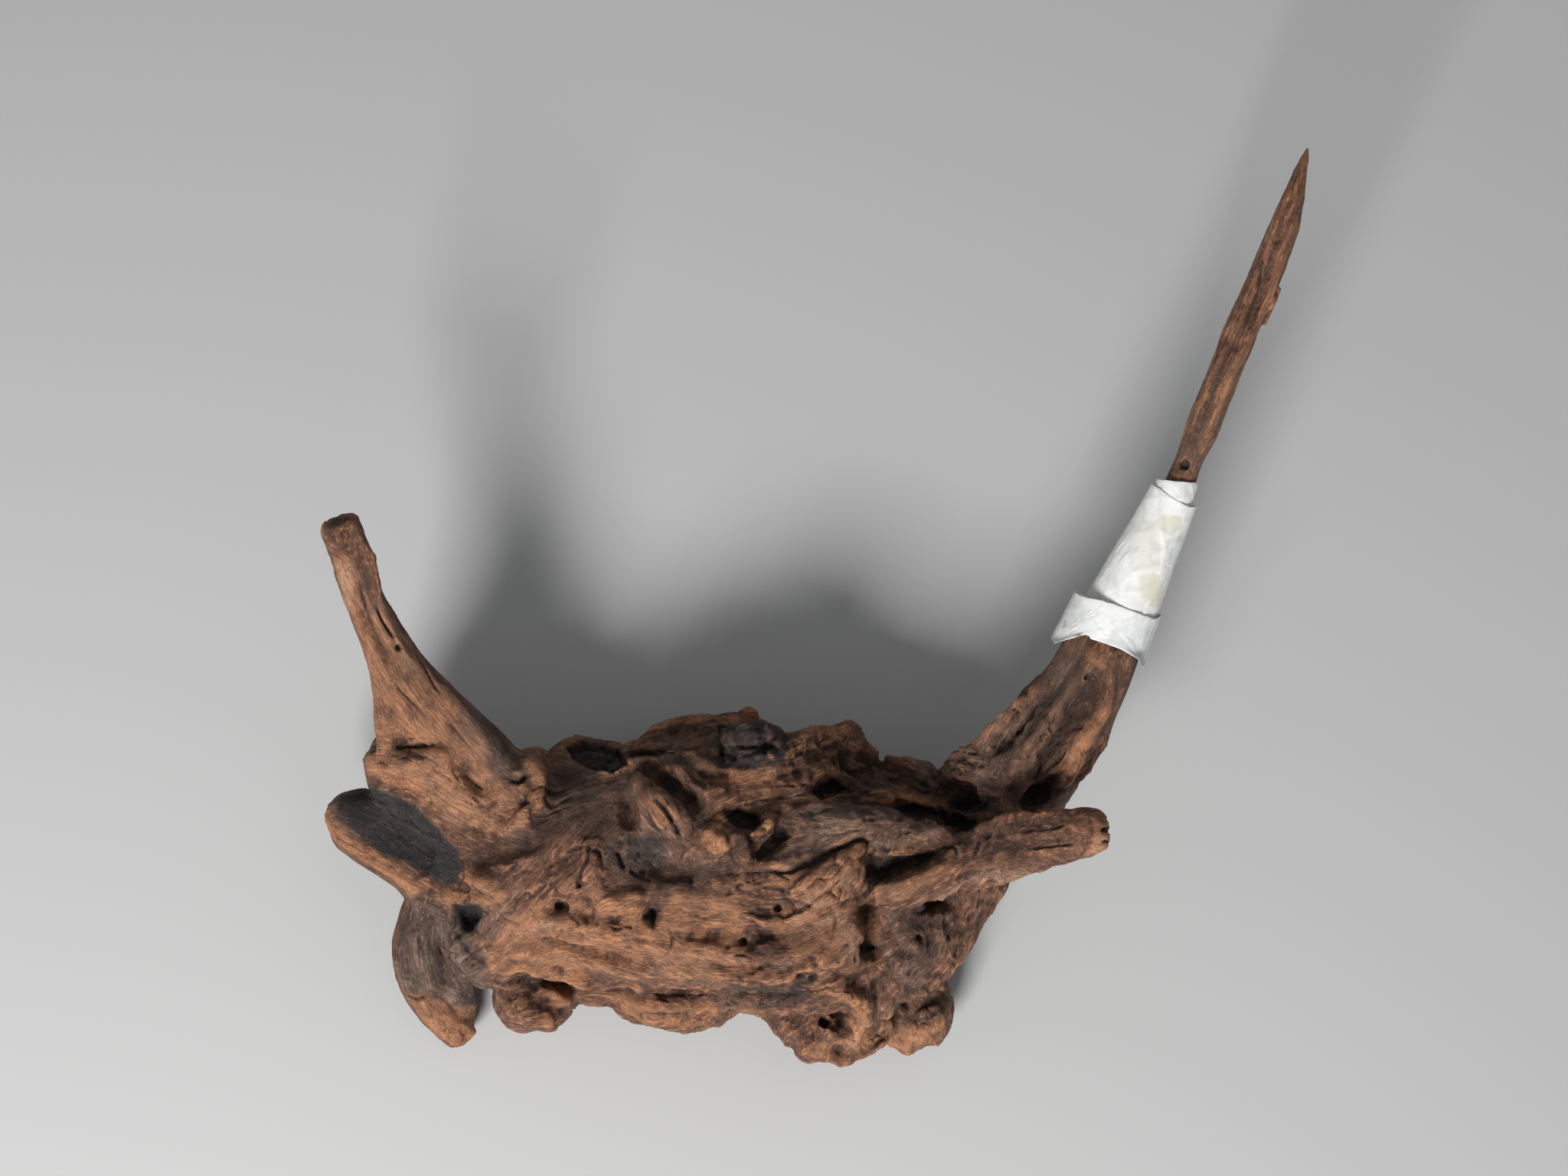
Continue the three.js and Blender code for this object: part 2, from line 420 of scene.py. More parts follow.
class Grain:
    """The run of the fibres over a surface, as coordinates along and across them."""

    BLEND = 6.0 * MM  # how softly one fibre's neighbourhood gives way to the next

    def __init__(self, surface: Surface, fibres: list[Fibre]) -> None:
        """Measure every vertex against every fibre.

        Args:
            surface: The surface that the fibres run over.
            fibres: The fibres.
        """
        tree = surface.tree()
        rows = []
        distances = []
        for number, fibre in enumerate(fibres):
            line = self._rounded(project(fibre.path, tree)[0])
            distance, run, nearest, heading = along_line(surface.places, line)
            away = surface.places - nearest
            across = np.cross(heading, [0.0, 0.0, 1.0])
            across /= np.linalg.norm(across, axis=1)[:, None] + 1e-9
            lift = np.cross(across, heading)
            ahead = run + np.einsum("ij,ij->i", away, heading)
            offset = np.einsum("ij,ij->i", away, across)
            height = np.einsum("ij,ij->i", away, lift)
            rows.append(np.stack([ahead + 0.7 * number, offset, height], axis=1))
            distances.append(distance)
        self.rows = np.array(rows)
        gaps = np.array(distances)
        weights = np.exp(-(gaps - gaps.min(axis=0)) / self.BLEND)
        self.weights = weights / weights.sum(axis=0)
        self.gaps = gaps
        self.gnarl = np.tensordot([fibre.gnarl for fibre in fibres], self.weights, axes=1)

    @staticmethod
    def _rounded(line: Array) -> Array:
        """Round off a polyline's corners by cutting them twice."""
        for _ in range(2):
            inner = [0.75 * line[:-1] + 0.25 * line[1:], 0.25 * line[:-1] + 0.75 * line[1:]]
            cut = np.stack(inner, axis=1).reshape(-1, 3)
            line = np.vstack([line[:1], cut[1:-1], line[-1:]])
        return line

    def streaks(
        self, length: float, width: float, seed: int, octaves: int = 2, ridged: bool = False
    ) -> Array:
        """Make noise that is drawn out along the fibres.

        Args:
            length: The streaks' length, in millimetres.
            width: Their width, in millimetres.
            seed: Which field to read.
            octaves: How many finer layers are added.
            ridged: Whether the streaks have sharp crests.

        Returns:
            One value for each vertex.
        """
        total = np.zeros(self.weights.shape[1])
        scale = 1.0 / (np.array([length, width, width]) * MM)
        for rows, weights in zip(self.rows, self.weights):
            near = weights > 0.04
            total[near] += weights[near] * layered_noise(rows[near] * scale, seed, octaves, ridged)
        return total / np.sqrt((self.weights**2).sum(axis=0))

    def layers(self, count: int) -> tuple[list[Array], list[Array]]:
        """Share the fibres out over a few layers, neighbours in different ones, so that they can be blended.

        Args:
            count: How many layers there are.

        Returns:
            For each layer, every vertex's coordinates along and across its nearest fibre, in metres, and
            the layer's weight there.
        """
        taken: list[int] = []
        for number, gap in enumerate(self.gaps):
            closeness = [0.0] * count
            for other, layer in enumerate(taken):
                closeness[layer] += float(np.exp(-(gap + self.gaps[other]).min() / (12 * MM)))
            taken.append(closeness.index(min(closeness)))
        every = np.arange(self.gaps.shape[1])
        rows, reach = [], []
        for layer in range(count):
            members = [number for number, own in enumerate(taken) if own == layer]
            nearest = np.array(members)[self.gaps[members].argmin(axis=0)]
            rows.append(self.rows[nearest, every])
            reach.append(self.gaps[nearest, every])
        weights = np.exp(-(np.array(reach) - np.min(reach, axis=0)) / (0.7 * self.BLEND))
        return rows, list(weights / weights.sum(axis=0))


# ---------------------------------------------------------------- strokes


def ridge(width: float, depth: float, *path: Spot) -> Stroke:
    """Raise a rounded ridge."""
    return Stroke(Tool.RIDGE, width, depth, path)


def gouge(width: float, depth: float, *path: Spot) -> Stroke:
    """Sink a rounded groove."""
    return Stroke(Tool.GOUGE, width, depth, path)


def hole(width: float, depth: float, *path: Spot) -> Stroke:
    """Sink a pit with steep walls."""
    return Stroke(Tool.HOLE, width, depth, path)


def crack(width: float, depth: float, *path: Spot) -> Stroke:
    """Split the surface."""
    return Stroke(Tool.CRACK, width, depth, path)


def plate(width: float, depth: float, *path: Spot) -> Stroke:
    """Raise a patch inside an outline."""
    return Stroke(Tool.PLATE, width, depth, path)


def pit(width: float, depth: float, *path: Spot) -> Stroke:
    """Sink a patch inside an outline."""
    return Stroke(Tool.PIT, width, depth, path)


# Where the fibres run: along each root, and in sweeps and swirls over the crown.
FIBRES = [
    Fibre(1.0, ((378, 17), (398, 51), (426, 91), (451, 135), (472, 181), (504, 229), (528, 266))),
    Fibre(0.35, ((521, 260), (551, 318), (574, 365), (596, 420), (622, 482), (650, 540), (669, 597))),
    Fibre(0.35, ((24, 357), (39, 323), (53, 293), (74, 252), (102, 217), (138, 184))),
    Fibre(0.5, ((37, 197), (73, 191), (115, 164), (150, 156))),
    Fibre(0.4, ((8, 174), (52, 153), (94, 122), (121, 111))),
    Fibre(0.4, ((75, 100), (70, 66), (87, 30), (102, 15))),
    Fibre(0.7, ((111, 76), (151, 108), (183, 141), (206, 172))),
    Fibre(0.8, ((126, 65), (176, 83), (232, 68))),
    Fibre(1.0, ((187, 98), (232, 113), (278, 116))),
    Fibre(1.0, ((248, 73), (290, 65), (333, 71), (376, 103))),
    Fibre(1.0, ((288, 103), (328, 96), (356, 121), (374, 146))),
    Fibre(1.0, ((295, 121), (338, 136), (369, 146))),
    Fibre(1.0, ((328, 166), (358, 158), (391, 161), (424, 157))),
    Fibre(0.6, ((373, 88), (421, 123), (474, 140), (534, 152))),
    Fibre(1.0, ((173, 206), (220, 213), (282, 227))),
    Fibre(1.0, ((282, 192), (328, 205), (359, 218))),
    Fibre(1.0, ((363, 211), (421, 177), (461, 167))),
    Fibre(0.6, ((221, 192), (232, 165), (250, 143))),
    Fibre(0.7, ((158, 166), (191, 176), (214, 179))),
    Fibre(1.0, ((144, 37), (195, 48), (236, 32), (308, 43))),
    Fibre(1.0, ((331, 20), (354, 41), (385, 33), (369, 8))),
    Fibre(1.0, ((393, 53), (411, 35), (416, 10))),
    Fibre(1.0, ((257, 141), (287, 166), (323, 172))),
]

# The crown's large forms, sculpted first.
FORMS = [
    # The far side of the crown, from left to right.
    gouge(11, 5, (176, 212), (196, 203), (211, 204)),
    gouge(8, 6, (216, 206), (240, 207)),
    ridge(13, 8, (218, 214), (244, 222), (276, 227)),
    ridge(9, 6, (203, 192), (221, 198), (241, 201), (265, 196), (286, 191)),
    gouge(9, 7, (225, 204), (256, 205), (276, 199)),
    ridge(15, 9, (285, 213), (300, 216), (315, 215)),
    ridge(10, 9, (287, 232), (302, 231)),
    ridge(13, 10, (294, 191), (308, 196), (326, 204), (340, 216), (353, 223)),
    ridge(10, 8, (369, 212), (385, 203), (402, 198), (419, 184)),
    gouge(10, 16, (340, 181), (356, 187), (377, 182)),
    ridge(8, 7, (339, 172), (359, 178), (379, 176), (401, 175), (424, 172)),
    gouge(9, 16, (398, 167), (418, 167), (441, 158)),
    gouge(8, 10, (437, 173), (455, 171)),
    # The middle: a plate between two valleys, wedges and a log-like ridge.
    gouge(10, 10, (229, 194), (244, 183), (258, 173), (269, 162)),
    gouge(8, 6, (214, 180), (219, 165), (218, 152)),
    ridge(15, 6, (225, 178), (239, 164), (248, 152)),
    gouge(8, 6, (284, 165), (295, 162), (304, 157)),
    gouge(7, 6, (319, 156), (318, 145), (308, 136)),
    ridge(9, 7, (310, 158), (302, 147)),
    ridge(10, 6, (291, 147), (294, 134)),
    ridge(10, 6, (273, 148), (278, 142)),
    ridge(18, 9, (333, 160), (358, 156), (389, 155), (420, 151)),
    ridge(16, 7, (367, 139), (358, 125), (338, 116), (318, 114)),
    gouge(11, 13, (379, 124), (390, 128), (405, 134), (419, 139)),
    ridge(14, 5, (383, 113), (408, 121), (437, 133)),
    # The right end: a worn bowl behind a lip.
    gouge(9, 9, (410, 101), (426, 107), (439, 114)),
    gouge(13, 12, (377, 96), (382, 88), (378, 78)),
    ridge(8, 8, (365, 94), (368, 83), (366, 68)),
    ridge(12, 5, (398, 90), (407, 76), (394, 63)),
    # The left ground, with the rolled collar below the left root.
    gouge(12, 4, (109, 140), (140, 140), (160, 146), (167, 165)),
    ridge(10, 7, (150, 202), (157, 193), (158, 182), (155, 170), (147, 160), (134, 154)),
    ridge(14, 4, (158, 115), (193, 120)),
    ridge(12, 4, (193, 140), (196, 120)),
    gouge(8, 6, (173, 104)),
    ridge(12, 5, (203, 106), (223, 106)),
    gouge(9, 7, (234, 98)),
    gouge(15, 6, (218, 134), (248, 126), (273, 122)),
    ridge(10, 4, (167, 85), (203, 83), (238, 76)),
    ridge(9, 5, (123, 71), (150, 77), (165, 68)),
    # Swirls over the near half.
    ridge(10, 7, (276, 106), (301, 93), (325, 95), (352, 109)),
    gouge(8, 7, (286, 98), (308, 84), (336, 88)),
    ridge(10, 7, (260, 76), (298, 73), (333, 78), (358, 89)),
    gouge(8, 6, (258, 65), (288, 62), (323, 66)),
    gouge(8, 6, (243, 83), (273, 84), (298, 81)),
    ridge(9, 5, (152, 96), (178, 93), (208, 88), (233, 85)),
    gouge(8, 5, (151, 86), (187, 76), (227, 65)),
    ridge(10, 4, (333, 68), (358, 71), (363, 65)),
    # The near edge: an overhanging shelf, a band below it and the feet.
    ridge(10, 6, (126, 65), (153, 64), (181, 58), (218, 51)),
    gouge(6, 6, (129, 54), (151, 53), (186, 49)),
    ridge(9, 5, (202, 44), (234, 40), (271, 39), (303, 45)),
    gouge(7, 7, (282, 47), (308, 45), (333, 46)),
    ridge(12, 7, (140, 35), (158, 33)),
    gouge(13, 12, (349, 33), (359, 28)),
    ridge(9, 10, (344, 50), (358, 52), (370, 46), (375, 35), (369, 25)),
    ridge(10, 9, (336, 9), (356, 5), (378, 14), (390, 25), (386, 42)),
    gouge(8, 7, (401, 40)),
    ridge(12, 8, (410, 22), (424, 32)),
    gouge(5, 9, (395, 25), (385, 14), (381, 10)),
    # The black lobe and the left foot.
    ridge(10, 6, (105, 126), (124, 120), (131, 112)),
    ridge(10, 6, (97, 109), (110, 107), (125, 110)),
    gouge(8, 6, (106, 97)),
    ridge(8, 6, (69, 111), (72, 82), (75, 58)),
    gouge(7, 5, (81, 97), (87, 71), (88, 45)),
    ridge(8, 4, (100, 81), (102, 56)),
    gouge(8, 5, (76, 45), (91, 34), (103, 32)),
    # The left root: an overhanging step, a knot and long furrows.
    gouge(5, 3, (39, 209), (66, 210), (95, 210), (111, 204)),
    ridge(11, 8, (38, 202), (69, 196), (95, 201)),
    gouge(5, 4, (52, 284), (58, 268), (64, 257)),
    ridge(6, 3, (48, 337), (54, 319), (59, 297)),
    ridge(14, 4, (86, 255), (109, 226), (129, 202)),
    gouge(5, 3, (136, 186), (149, 190)),
    gouge(12, 6, (105, 198), (124, 176)),
    # The longest root below the tape: lengthwise ridges and valleys.
    ridge(9, 9, (521, 268), (509, 246), (496, 225), (484, 209), (469, 192)),
    gouge(9, 12, (521, 244), (508, 220), (495, 201), (486, 181), (483, 171)),
    ridge(9, 7, (535, 264), (532, 232), (518, 212), (510, 192), (504, 179)),
    gouge(9, 7, (478, 171), (497, 176)),
    gouge(9, 7, (492, 246), (476, 224), (456, 204)),
    ridge(9, 6, (484, 245), (464, 220), (441, 204), (417, 195)),
    gouge(10, 5, (430, 185), (444, 180), (456, 183)),
    # The stub.
    ridge(7, 5, (445, 153), (473, 158), (506, 164)),
    gouge(6, 3, (457, 141), (486, 144), (515, 148)),
]

# Splits, pits, knots and small bumps, sculpted once the surface is fine.
DETAILS = [
    # The plate and its two splits.
    plate(
        2.2, 4.5,
        (220, 190), (225, 191), (233, 184), (243, 177), (254, 169), (262, 159), (261, 152), (255, 142),
        (251, 145), (243, 147), (233, 151), (225, 152), (226, 162), (222, 172), (218, 185),
    ),
    crack(2.2, 6, (237, 170), (244, 163), (250, 153), (255, 142)),
    crack(1.8, 4, (231, 166), (236, 155), (243, 147)),
    crack(1.6, 3, (232, 183), (236, 170)),
    # Wedges, the log-like ridge and the fin with its worn tip.
    plate(2, 4.5, (311, 163), (314, 155), (307, 147), (300, 143), (297, 149), (304, 156)),
    plate(2, 4, (286, 150), (295, 152), (299, 141), (300, 132), (291, 127), (286, 134)),
    plate(
        3.5, 4,
        (326, 167), (338, 173), (364, 170), (395, 169), (423, 163), (427, 150), (398, 140), (376, 142),
        (373, 146), (365, 146), (339, 132), (325, 126), (300, 125), (303, 132), (314, 142), (323, 149),
    ),
    plate(
        2, 4.5,
        (374, 146), (372, 134), (373, 124), (377, 117), (364, 107), (340, 102), (320, 109), (328, 120),
        (346, 131), (364, 144),
    ),
    plate(
        2, 3,
        (378, 117), (398, 125), (425, 140), (438, 145), (436, 130), (432, 117), (412, 106), (391, 101),
        (379, 104),
    ),
    crack(2.2, 5, (287, 123), (301, 125), (324, 125), (339, 131), (353, 140), (365, 145), (373, 145)),
    crack(1.6, 3, (328, 152), (353, 155), (384, 160), (410, 157)),
    crack(1.4, 2.5, (338, 146), (363, 152), (394, 150), (418, 150)),
    crack(1.6, 3, (362, 171), (361, 164)),
    crack(1.6, 3, (384, 164), (405, 161), (426, 158)),
    # Rotted pits.
    pit(3.4, 4.5, (280, 165), (290, 168), (301, 163), (308, 158), (302, 152), (291, 153), (283, 156)),
    pit(
        3.4, 4.5,
        (315, 160), (323, 155), (324, 147), (314, 142), (303, 132), (299, 135), (306, 144), (313, 152),
    ),
    pit(
        3.4, 6,
        (375, 139), (398, 137), (422, 141), (415, 133), (399, 128), (384, 119), (377, 120), (374, 126),
    ),
    pit(
        3.4, 6.9,
        (393, 170), (409, 173), (426, 170), (437, 167), (448, 158), (442, 151), (431, 150), (427, 158),
        (422, 163), (400, 166),
    ),
    pit(3.4, 5.5, (432, 175), (444, 178), (456, 172), (455, 166), (441, 163), (435, 168)),
    pit(
        3.4, 7.4,
        (338, 179), (346, 186), (357, 191), (359, 185), (374, 180), (383, 184), (377, 178), (359, 176),
        (344, 172),
    ),
    pit(3.4, 3.5, (407, 191), (414, 189), (421, 183), (419, 180), (410, 184)),
    pit(
        3.4, 6.4,
        (170, 214), (179, 220), (195, 218), (214, 206), (217, 197), (206, 191), (189, 195), (174, 204),
    ),
    pit(3.4, 3.5, (213, 209), (235, 210), (253, 205), (237, 201), (216, 201)),
    pit(3.4, 4, (368, 80), (383, 80), (383, 75), (368, 74)),
    pit(4.5, 4.8, (231, 103), (236, 103), (237, 95), (235, 88), (232, 91)),
    pit(4.5, 4, (256, 124), (261, 125), (262, 114), (258, 112)),
    pit(2, 4, (135, 188), (143, 183), (149, 189), (147, 192), (142, 187)),
    pit(4.5, 4.8, (211, 149), (217, 147), (217, 141), (212, 139), (210, 144)),
    pit(5, 4.8, (97, 106), (118, 106), (119, 98), (111, 86), (103, 88), (98, 97)),
    pit(3.4, 4.5, (406, 99), (417, 107), (434, 113), (435, 110), (420, 103), (411, 97)),
    # Charred blocks on the far edge.
    plate(1.8, 3, (174, 212), (184, 214), (197, 212), (197, 200), (186, 198), (176, 204)),
    plate(1.8, 3, (201, 208), (212, 204), (212, 196), (203, 194), (199, 199)),
    crack(2, 5, (172, 213), (186, 198), (206, 191)),
    crack(1.8, 5, (199, 209), (200, 198)),
    plate(1.8, 3.5, (277, 224), (287, 224), (289, 210), (283, 205), (277, 212)),
    plate(1.8, 3, (291, 219), (305, 219), (304, 211), (292, 210)),
    plate(1.8, 4, (307, 223), (318, 224), (323, 221), (317, 205), (308, 210)),
    plate(1.8, 3.5, (290, 207), (306, 208), (307, 201), (300, 196), (288, 198)),
    plate(1.8, 3, (279, 204), (286, 202), (287, 196), (281, 197)),
    plate(1.8, 3, (309, 207), (317, 203), (313, 197), (308, 200)),
    crack(2.2, 6, (276, 225), (278, 205), (279, 195)),
    crack(2, 5, (278, 208), (290, 209), (307, 209), (318, 203)),
    plate(1.8, 3, (361, 203), (376, 202), (377, 197), (363, 194)),
    plate(1.8, 3, (380, 200), (398, 193), (396, 188), (380, 190)),
    crack(2, 6, (358, 208), (360, 196), (358, 187)),
    crack(2, 5, (378, 203), (378, 193)),
    crack(1.6, 3, (346, 205), (355, 200), (358, 194)),
    ridge(5, 4, (198, 207), (200, 198)),
    # The orange knob and small bumps.
    ridge(6, 3.5, (271, 150)),
    ridge(6, 3.5, (279, 146)),
    ridge(5, 3, (274, 140)),
    ridge(5, 3, (283, 141)),
    ridge(5, 3, (277, 154)),
    ridge(6, 4, (276, 118)),
    ridge(6, 3.5, (207, 107)),
    ridge(5, 3.5, (213, 104)),
    ridge(5, 3, (222, 102)),
    ridge(6, 2.5, (181, 96), (187, 90), (180, 84), (175, 90)),
    # Splits in the ground left of the plate.
    crack(2, 5, (190, 149), (193, 142), (192, 133), (188, 125), (187, 116), (185, 108)),
    crack(1.6, 4, (193, 140), (200, 138), (202, 130)),
    crack(1.6, 3, (178, 138), (184, 141), (192, 141)),
    crack(1.6, 4, (208, 141), (214, 134), (216, 126)),
    crack(1.6, 3, (219, 149), (219, 136)),
    crack(1.5, 3, (221, 138), (233, 136), (242, 138)),
    crack(1.6, 3, (179, 95), (175, 88), (166, 77)),
    crack(1.6, 3, (179, 99), (186, 93), (189, 85), (179, 76)),
    crack(1.6, 3, (252, 121), (253, 134), (256, 141)),
    crack(1.5, 3, (288, 120), (283, 110), (296, 120)),
    crack(1.5, 3.5, (211, 142), (214, 130), (223, 124), (233, 120)),
    crack(1.5, 3, (255, 100), (268, 95), (282, 99)),
    crack(1.4, 3, (198, 92), (211, 89), (225, 90)),
    crack(1.5, 3, (311, 127), (323, 120), (326, 109)),
    crack(1.5, 3, (244, 90), (248, 82), (244, 73)),
    crack(1.5, 3, (350, 105), (354, 93), (351, 81)),
    # Knots and pits.
    hole(4, 4, (173, 104)),
    hole(3.5, 5, (316, 102)),
    hole(3.5, 6, (293, 81)),
    hole(4, 5, (331, 57)),
    hole(4, 5, (339, 57)),
    ridge(3.5, 3, (322, 57), (328, 62), (339, 64), (348, 60)),
    hole(3.5, 6, (267, 51)),
    hole(5, 7, (348, 28)),
    hole(4, 8, (400, 40)),
    hole(3, 4, (409, 83)),
    hole(2.5, 3, (430, 84)),
    hole(2.5, 3, (68, 270)),
    hole(3, 4, (580, 386)),
    # The stub: surface splits and a broken, splintered end.
    crack(1.8, 4, (448, 149), (445, 140), (442, 133)),
    crack(1.8, 3, (455, 146), (449, 138)),
    crack(1.5, 3, (423, 141), (431, 140), (432, 135), (424, 132)),
    crack(1.5, 3, (462, 128), (444, 124), (427, 117)),
    crack(1.6, 3, (471, 150), (496, 153), (526, 157)),
    crack(1.4, 2.5, (476, 139), (505, 142), (528, 146)),
    crack(1.8, 4, (518, 157), (537, 161)),
    crack(1.8, 4, (519, 150), (537, 152)),
    crack(1.8, 4, (518, 143), (535, 142)),
    pit(1.5, 7, (527, 160), (542, 163), (542, 160), (528, 157)),
    pit(1.5, 7, (523, 152), (541, 155), (541, 151), (525, 149)),
    pit(1.5, 7, (525, 144), (541, 146), (541, 143), (529, 142)),
    pit(1.5, 5, (535, 170), (544, 170), (543, 132), (537, 136), (536, 147), (539, 152), (536, 159)),
    # The shelf, the band with its cross-splits, and the feet.
    crack(2.2, 6, (127, 59), (151, 56), (170, 53), (197, 51)),
    crack(1.6, 2.5, (202, 49), (234, 46), (264, 46), (308, 47)),
    crack(1.6, 4, (184, 51), (181, 42)),
    crack(1.6, 4, (194, 50), (196, 41)),
    crack(1.6, 4, (208, 46), (205, 38)),
    crack(1.6, 4, (224, 44), (221, 31)),
    crack(1.6, 3, (238, 42), (238, 30)),
    crack(1.6, 3, (252, 41), (254, 28)),
    crack(1.6, 4, (268, 43), (266, 32)),
    crack(1.8, 4, (282, 48), (283, 35)),
    crack(1.8, 4, (294, 48), (294, 38)),
    crack(1.8, 4, (305, 49), (305, 38)),
    crack(1.8, 4, (315, 50), (316, 39)),
    crack(1.8, 4, (326, 51), (327, 40)),
    ridge(6, 4, (164, 41), (173, 43)),
    ridge(6, 4, (155, 27), (161, 27)),
    crack(1.6, 3, (138, 46), (145, 30)),
    crack(1.6, 3, (354, 20), (370, 14)),
    crack(1.6, 3, (339, 23), (341, 9)),
    crack(2, 6, (391, 18), (385, 15), (381, 11)),
    crack(1.6, 4, (366, 73), (367, 64)),
    ridge(4, 4, (424, 52), (429, 51)),
    ridge(5, 4, (406, 46), (414, 48)),
    ridge(5, 4, (415, 33), (423, 36)),
    # The black lobe: a flat charred face with a split, inside a worn rim.
    crack(2.2, 5, (31, 181), (45, 175), (52, 172), (54, 166), (70, 160), (77, 153), (90, 152)),
    crack(1.5, 3, (47, 169), (63, 148), (79, 139)),
    crack(1.6, 3, (105, 133), (106, 124), (101, 117)),
    crack(1.6, 4, (95, 99), (107, 101), (115, 93)),
    crack(1.6, 4, (104, 106), (108, 88)),
    ridge(4, 3, (8, 174), (9, 161), (16, 149), (32, 141), (48, 130), (70, 118)),
    ridge(4, 2.5, (31, 188), (52, 182), (71, 174), (89, 159), (103, 140)),
    plate(
        1.5, 2.5,
        (74, 60), (81, 47), (92, 39), (110, 36), (117, 51), (123, 65), (107, 76), (90, 102), (72, 113),
        (62, 101), (55, 74), (58, 56),
    ),
    crack(2, 5, (59, 46), (67, 42), (74, 45)),
    crack(1.5, 3, (70, 107), (73, 82), (75, 60)),
    crack(1.4, 2.5, (78, 102), (85, 76), (87, 51)),
    crack(1.4, 2.5, (86, 97), (96, 71), (97, 45)),
    crack(1.4, 2.5, (94, 89), (108, 71), (105, 45)),
    ridge(6, 4, (101, 20)),
    # The left root.
    crack(2.2, 5, (44, 206), (65, 208), (88, 209)),
    crack(1.8, 4, (55, 296), (59, 286), (66, 274)),
    crack(1.5, 3, (58, 263), (67, 244), (86, 225)),
    crack(1.4, 2.5, (77, 269), (91, 245), (110, 221)),
    crack(1.4, 2.5, (38, 267), (43, 241), (47, 221)),
    ridge(3.5, 3, (50, 330), (54, 326), (59, 322)),
    # The longest root: bark flap, knot and splits.
    crack(2.8, 8, (499, 226), (490, 214), (482, 201)),
    crack(2, 5, (509, 208), (500, 198), (491, 190)),
    crack(1.6, 4, (472, 234), (478, 231)),
    hole(2.5, 5, (521, 251)),
    hole(2.5, 5, (477, 219)),
    pit(
        3.4, 5,
        (476, 170), (477, 178), (484, 185), (498, 192), (508, 195), (501, 185), (495, 172), (490, 169),
    ),
    crack(1.6, 4, (527, 254), (509, 227), (495, 203)),
    crack(1.4, 3, (486, 252), (476, 232), (461, 215)),
    crack(1.5, 3, (484, 253), (487, 244)),
    crack(1.5, 3, (446, 197), (461, 209), (472, 227)),
    plate(1.3, 2.5, (629, 475), (631, 486), (638, 498), (644, 497), (639, 486), (634, 474)),
    crack(1.8, 3, (628, 512), (625, 493), (615, 469)),
    ridge(5, 2, (645, 532), (631, 483), (609, 440), (590, 396)),
    gouge(4, 2, (639, 531), (624, 483), (604, 446), (585, 401)),

    ridge(5, 2.5, (61, 277), (68, 270), (75, 263)),
    gouge(3, 3, (64, 274), (70, 268)),
    ridge(4, 2, (36, 315), (40, 300), (44, 284)),
    crack(1.5, 3, (46, 309), (49, 291), (56, 272)),
    crack(1.5, 3, (86, 245), (100, 221), (114, 204)),
]


class Tint(Enum):
    """How a patch of wood or paper is coloured."""

    # Black char, and painted deep shade in pits, holes, under the shelf and on the far edge.
    CHAR = 0
    # Orange wear, with painted highlight along some ridges and lit edges.
    ORANGE = 1
    # Painted purple-brown shade in valleys, pits and on the far side, with some darker wood.
    DARK = 2
    # Bleached wood, with painted highlight along some ridges and lit edges.
    PALE = 3
    # Painted grey shade along creases in the paper.
    CREASE = 4
    BEIGE = 5
    THIN = 6
    FLECK = 7
    GREY = 8


@dataclass(frozen=True)
class Stain:
    """A patch of colour.

    Attributes:
        tint: Its colour.
        width: Half its width or, inside an outline, how softly its rim fades, in millimetres.
        strength: From 0 for none to 1 for full.
        path: Places on the piece's own ruler, in millimetres.
        outline: Whether the path is the patch's outline.
    """

    tint: Tint
    width: float
    strength: float
    path: tuple[Spot, ...]
    outline: bool = False


def black_shade(width: float, strength: float, *path: Spot) -> Stain:
    """Blacken a patch as painted deep shade in a hole or under an overhang."""
    return Stain(Tint.CHAR, width, strength, path)


def orange(width: float, strength: float, *path: Spot) -> Stain:
    """Wear a patch down to orange wood; along some ridges and lit edges the orange is a painted highlight.
    """
    return Stain(Tint.ORANGE, width, strength, path)


def dark(width: float, strength: float, *path: Spot) -> Stain:
    """Darken a patch to purple-brown: painted shade, with some darker wood."""
    return Stain(Tint.DARK, width, strength, path)


def pale(width: float, strength: float, *path: Spot) -> Stain:
    """Bleach a patch; along some ridges and lit edges the pale is a painted highlight."""
    return Stain(Tint.PALE, width, strength, path)


def blackened(width: float, strength: float, *path: Spot) -> Stain:
    """Blacken the inside of an outline: char, and painted deep shade in pits and on the far edge."""
    return Stain(Tint.CHAR, width, strength, path, True)


def worn(width: float, strength: float, *path: Spot) -> Stain:
    """Wear the inside of an outline down to orange wood."""
    return Stain(Tint.ORANGE, width, strength, path, True)


def darkened(width: float, strength: float, *path: Spot) -> Stain:
    """Darken the inside of an outline to purple-brown: painted shade, with some darker wood."""
    return Stain(Tint.DARK, width, strength, path, True)


def paled(width: float, strength: float, *path: Spot) -> Stain:
    """Bleach the inside of an outline."""
    return Stain(Tint.PALE, width, strength, path, True)


def greyed(width: float, strength: float, *path: Spot) -> Stain:
    """Weather the inside of an outline to grey-brown."""
    return Stain(Tint.GREY, width, strength, path, True)


def crease(width: float, strength: float, *path: Spot) -> Stain:
    """Paint grey shade along a crease in the paper."""
    return Stain(Tint.CREASE, width, strength, path)


def fleck(width: float, strength: float, *path: Spot) -> Stain:
    """Leave a fleck of bark on the paper."""
    return Stain(Tint.FLECK, width, strength, path)


def beige(width: float, strength: float, *path: Spot) -> Stain:
    """Stain the inside of an outline."""
    return Stain(Tint.BEIGE, width, strength, path, True)


def thin(width: float, strength: float, *path: Spot) -> Stain:
    """Let the wood's shade through the paper inside an outline."""
    return Stain(Tint.THIN, width, strength, path, True)


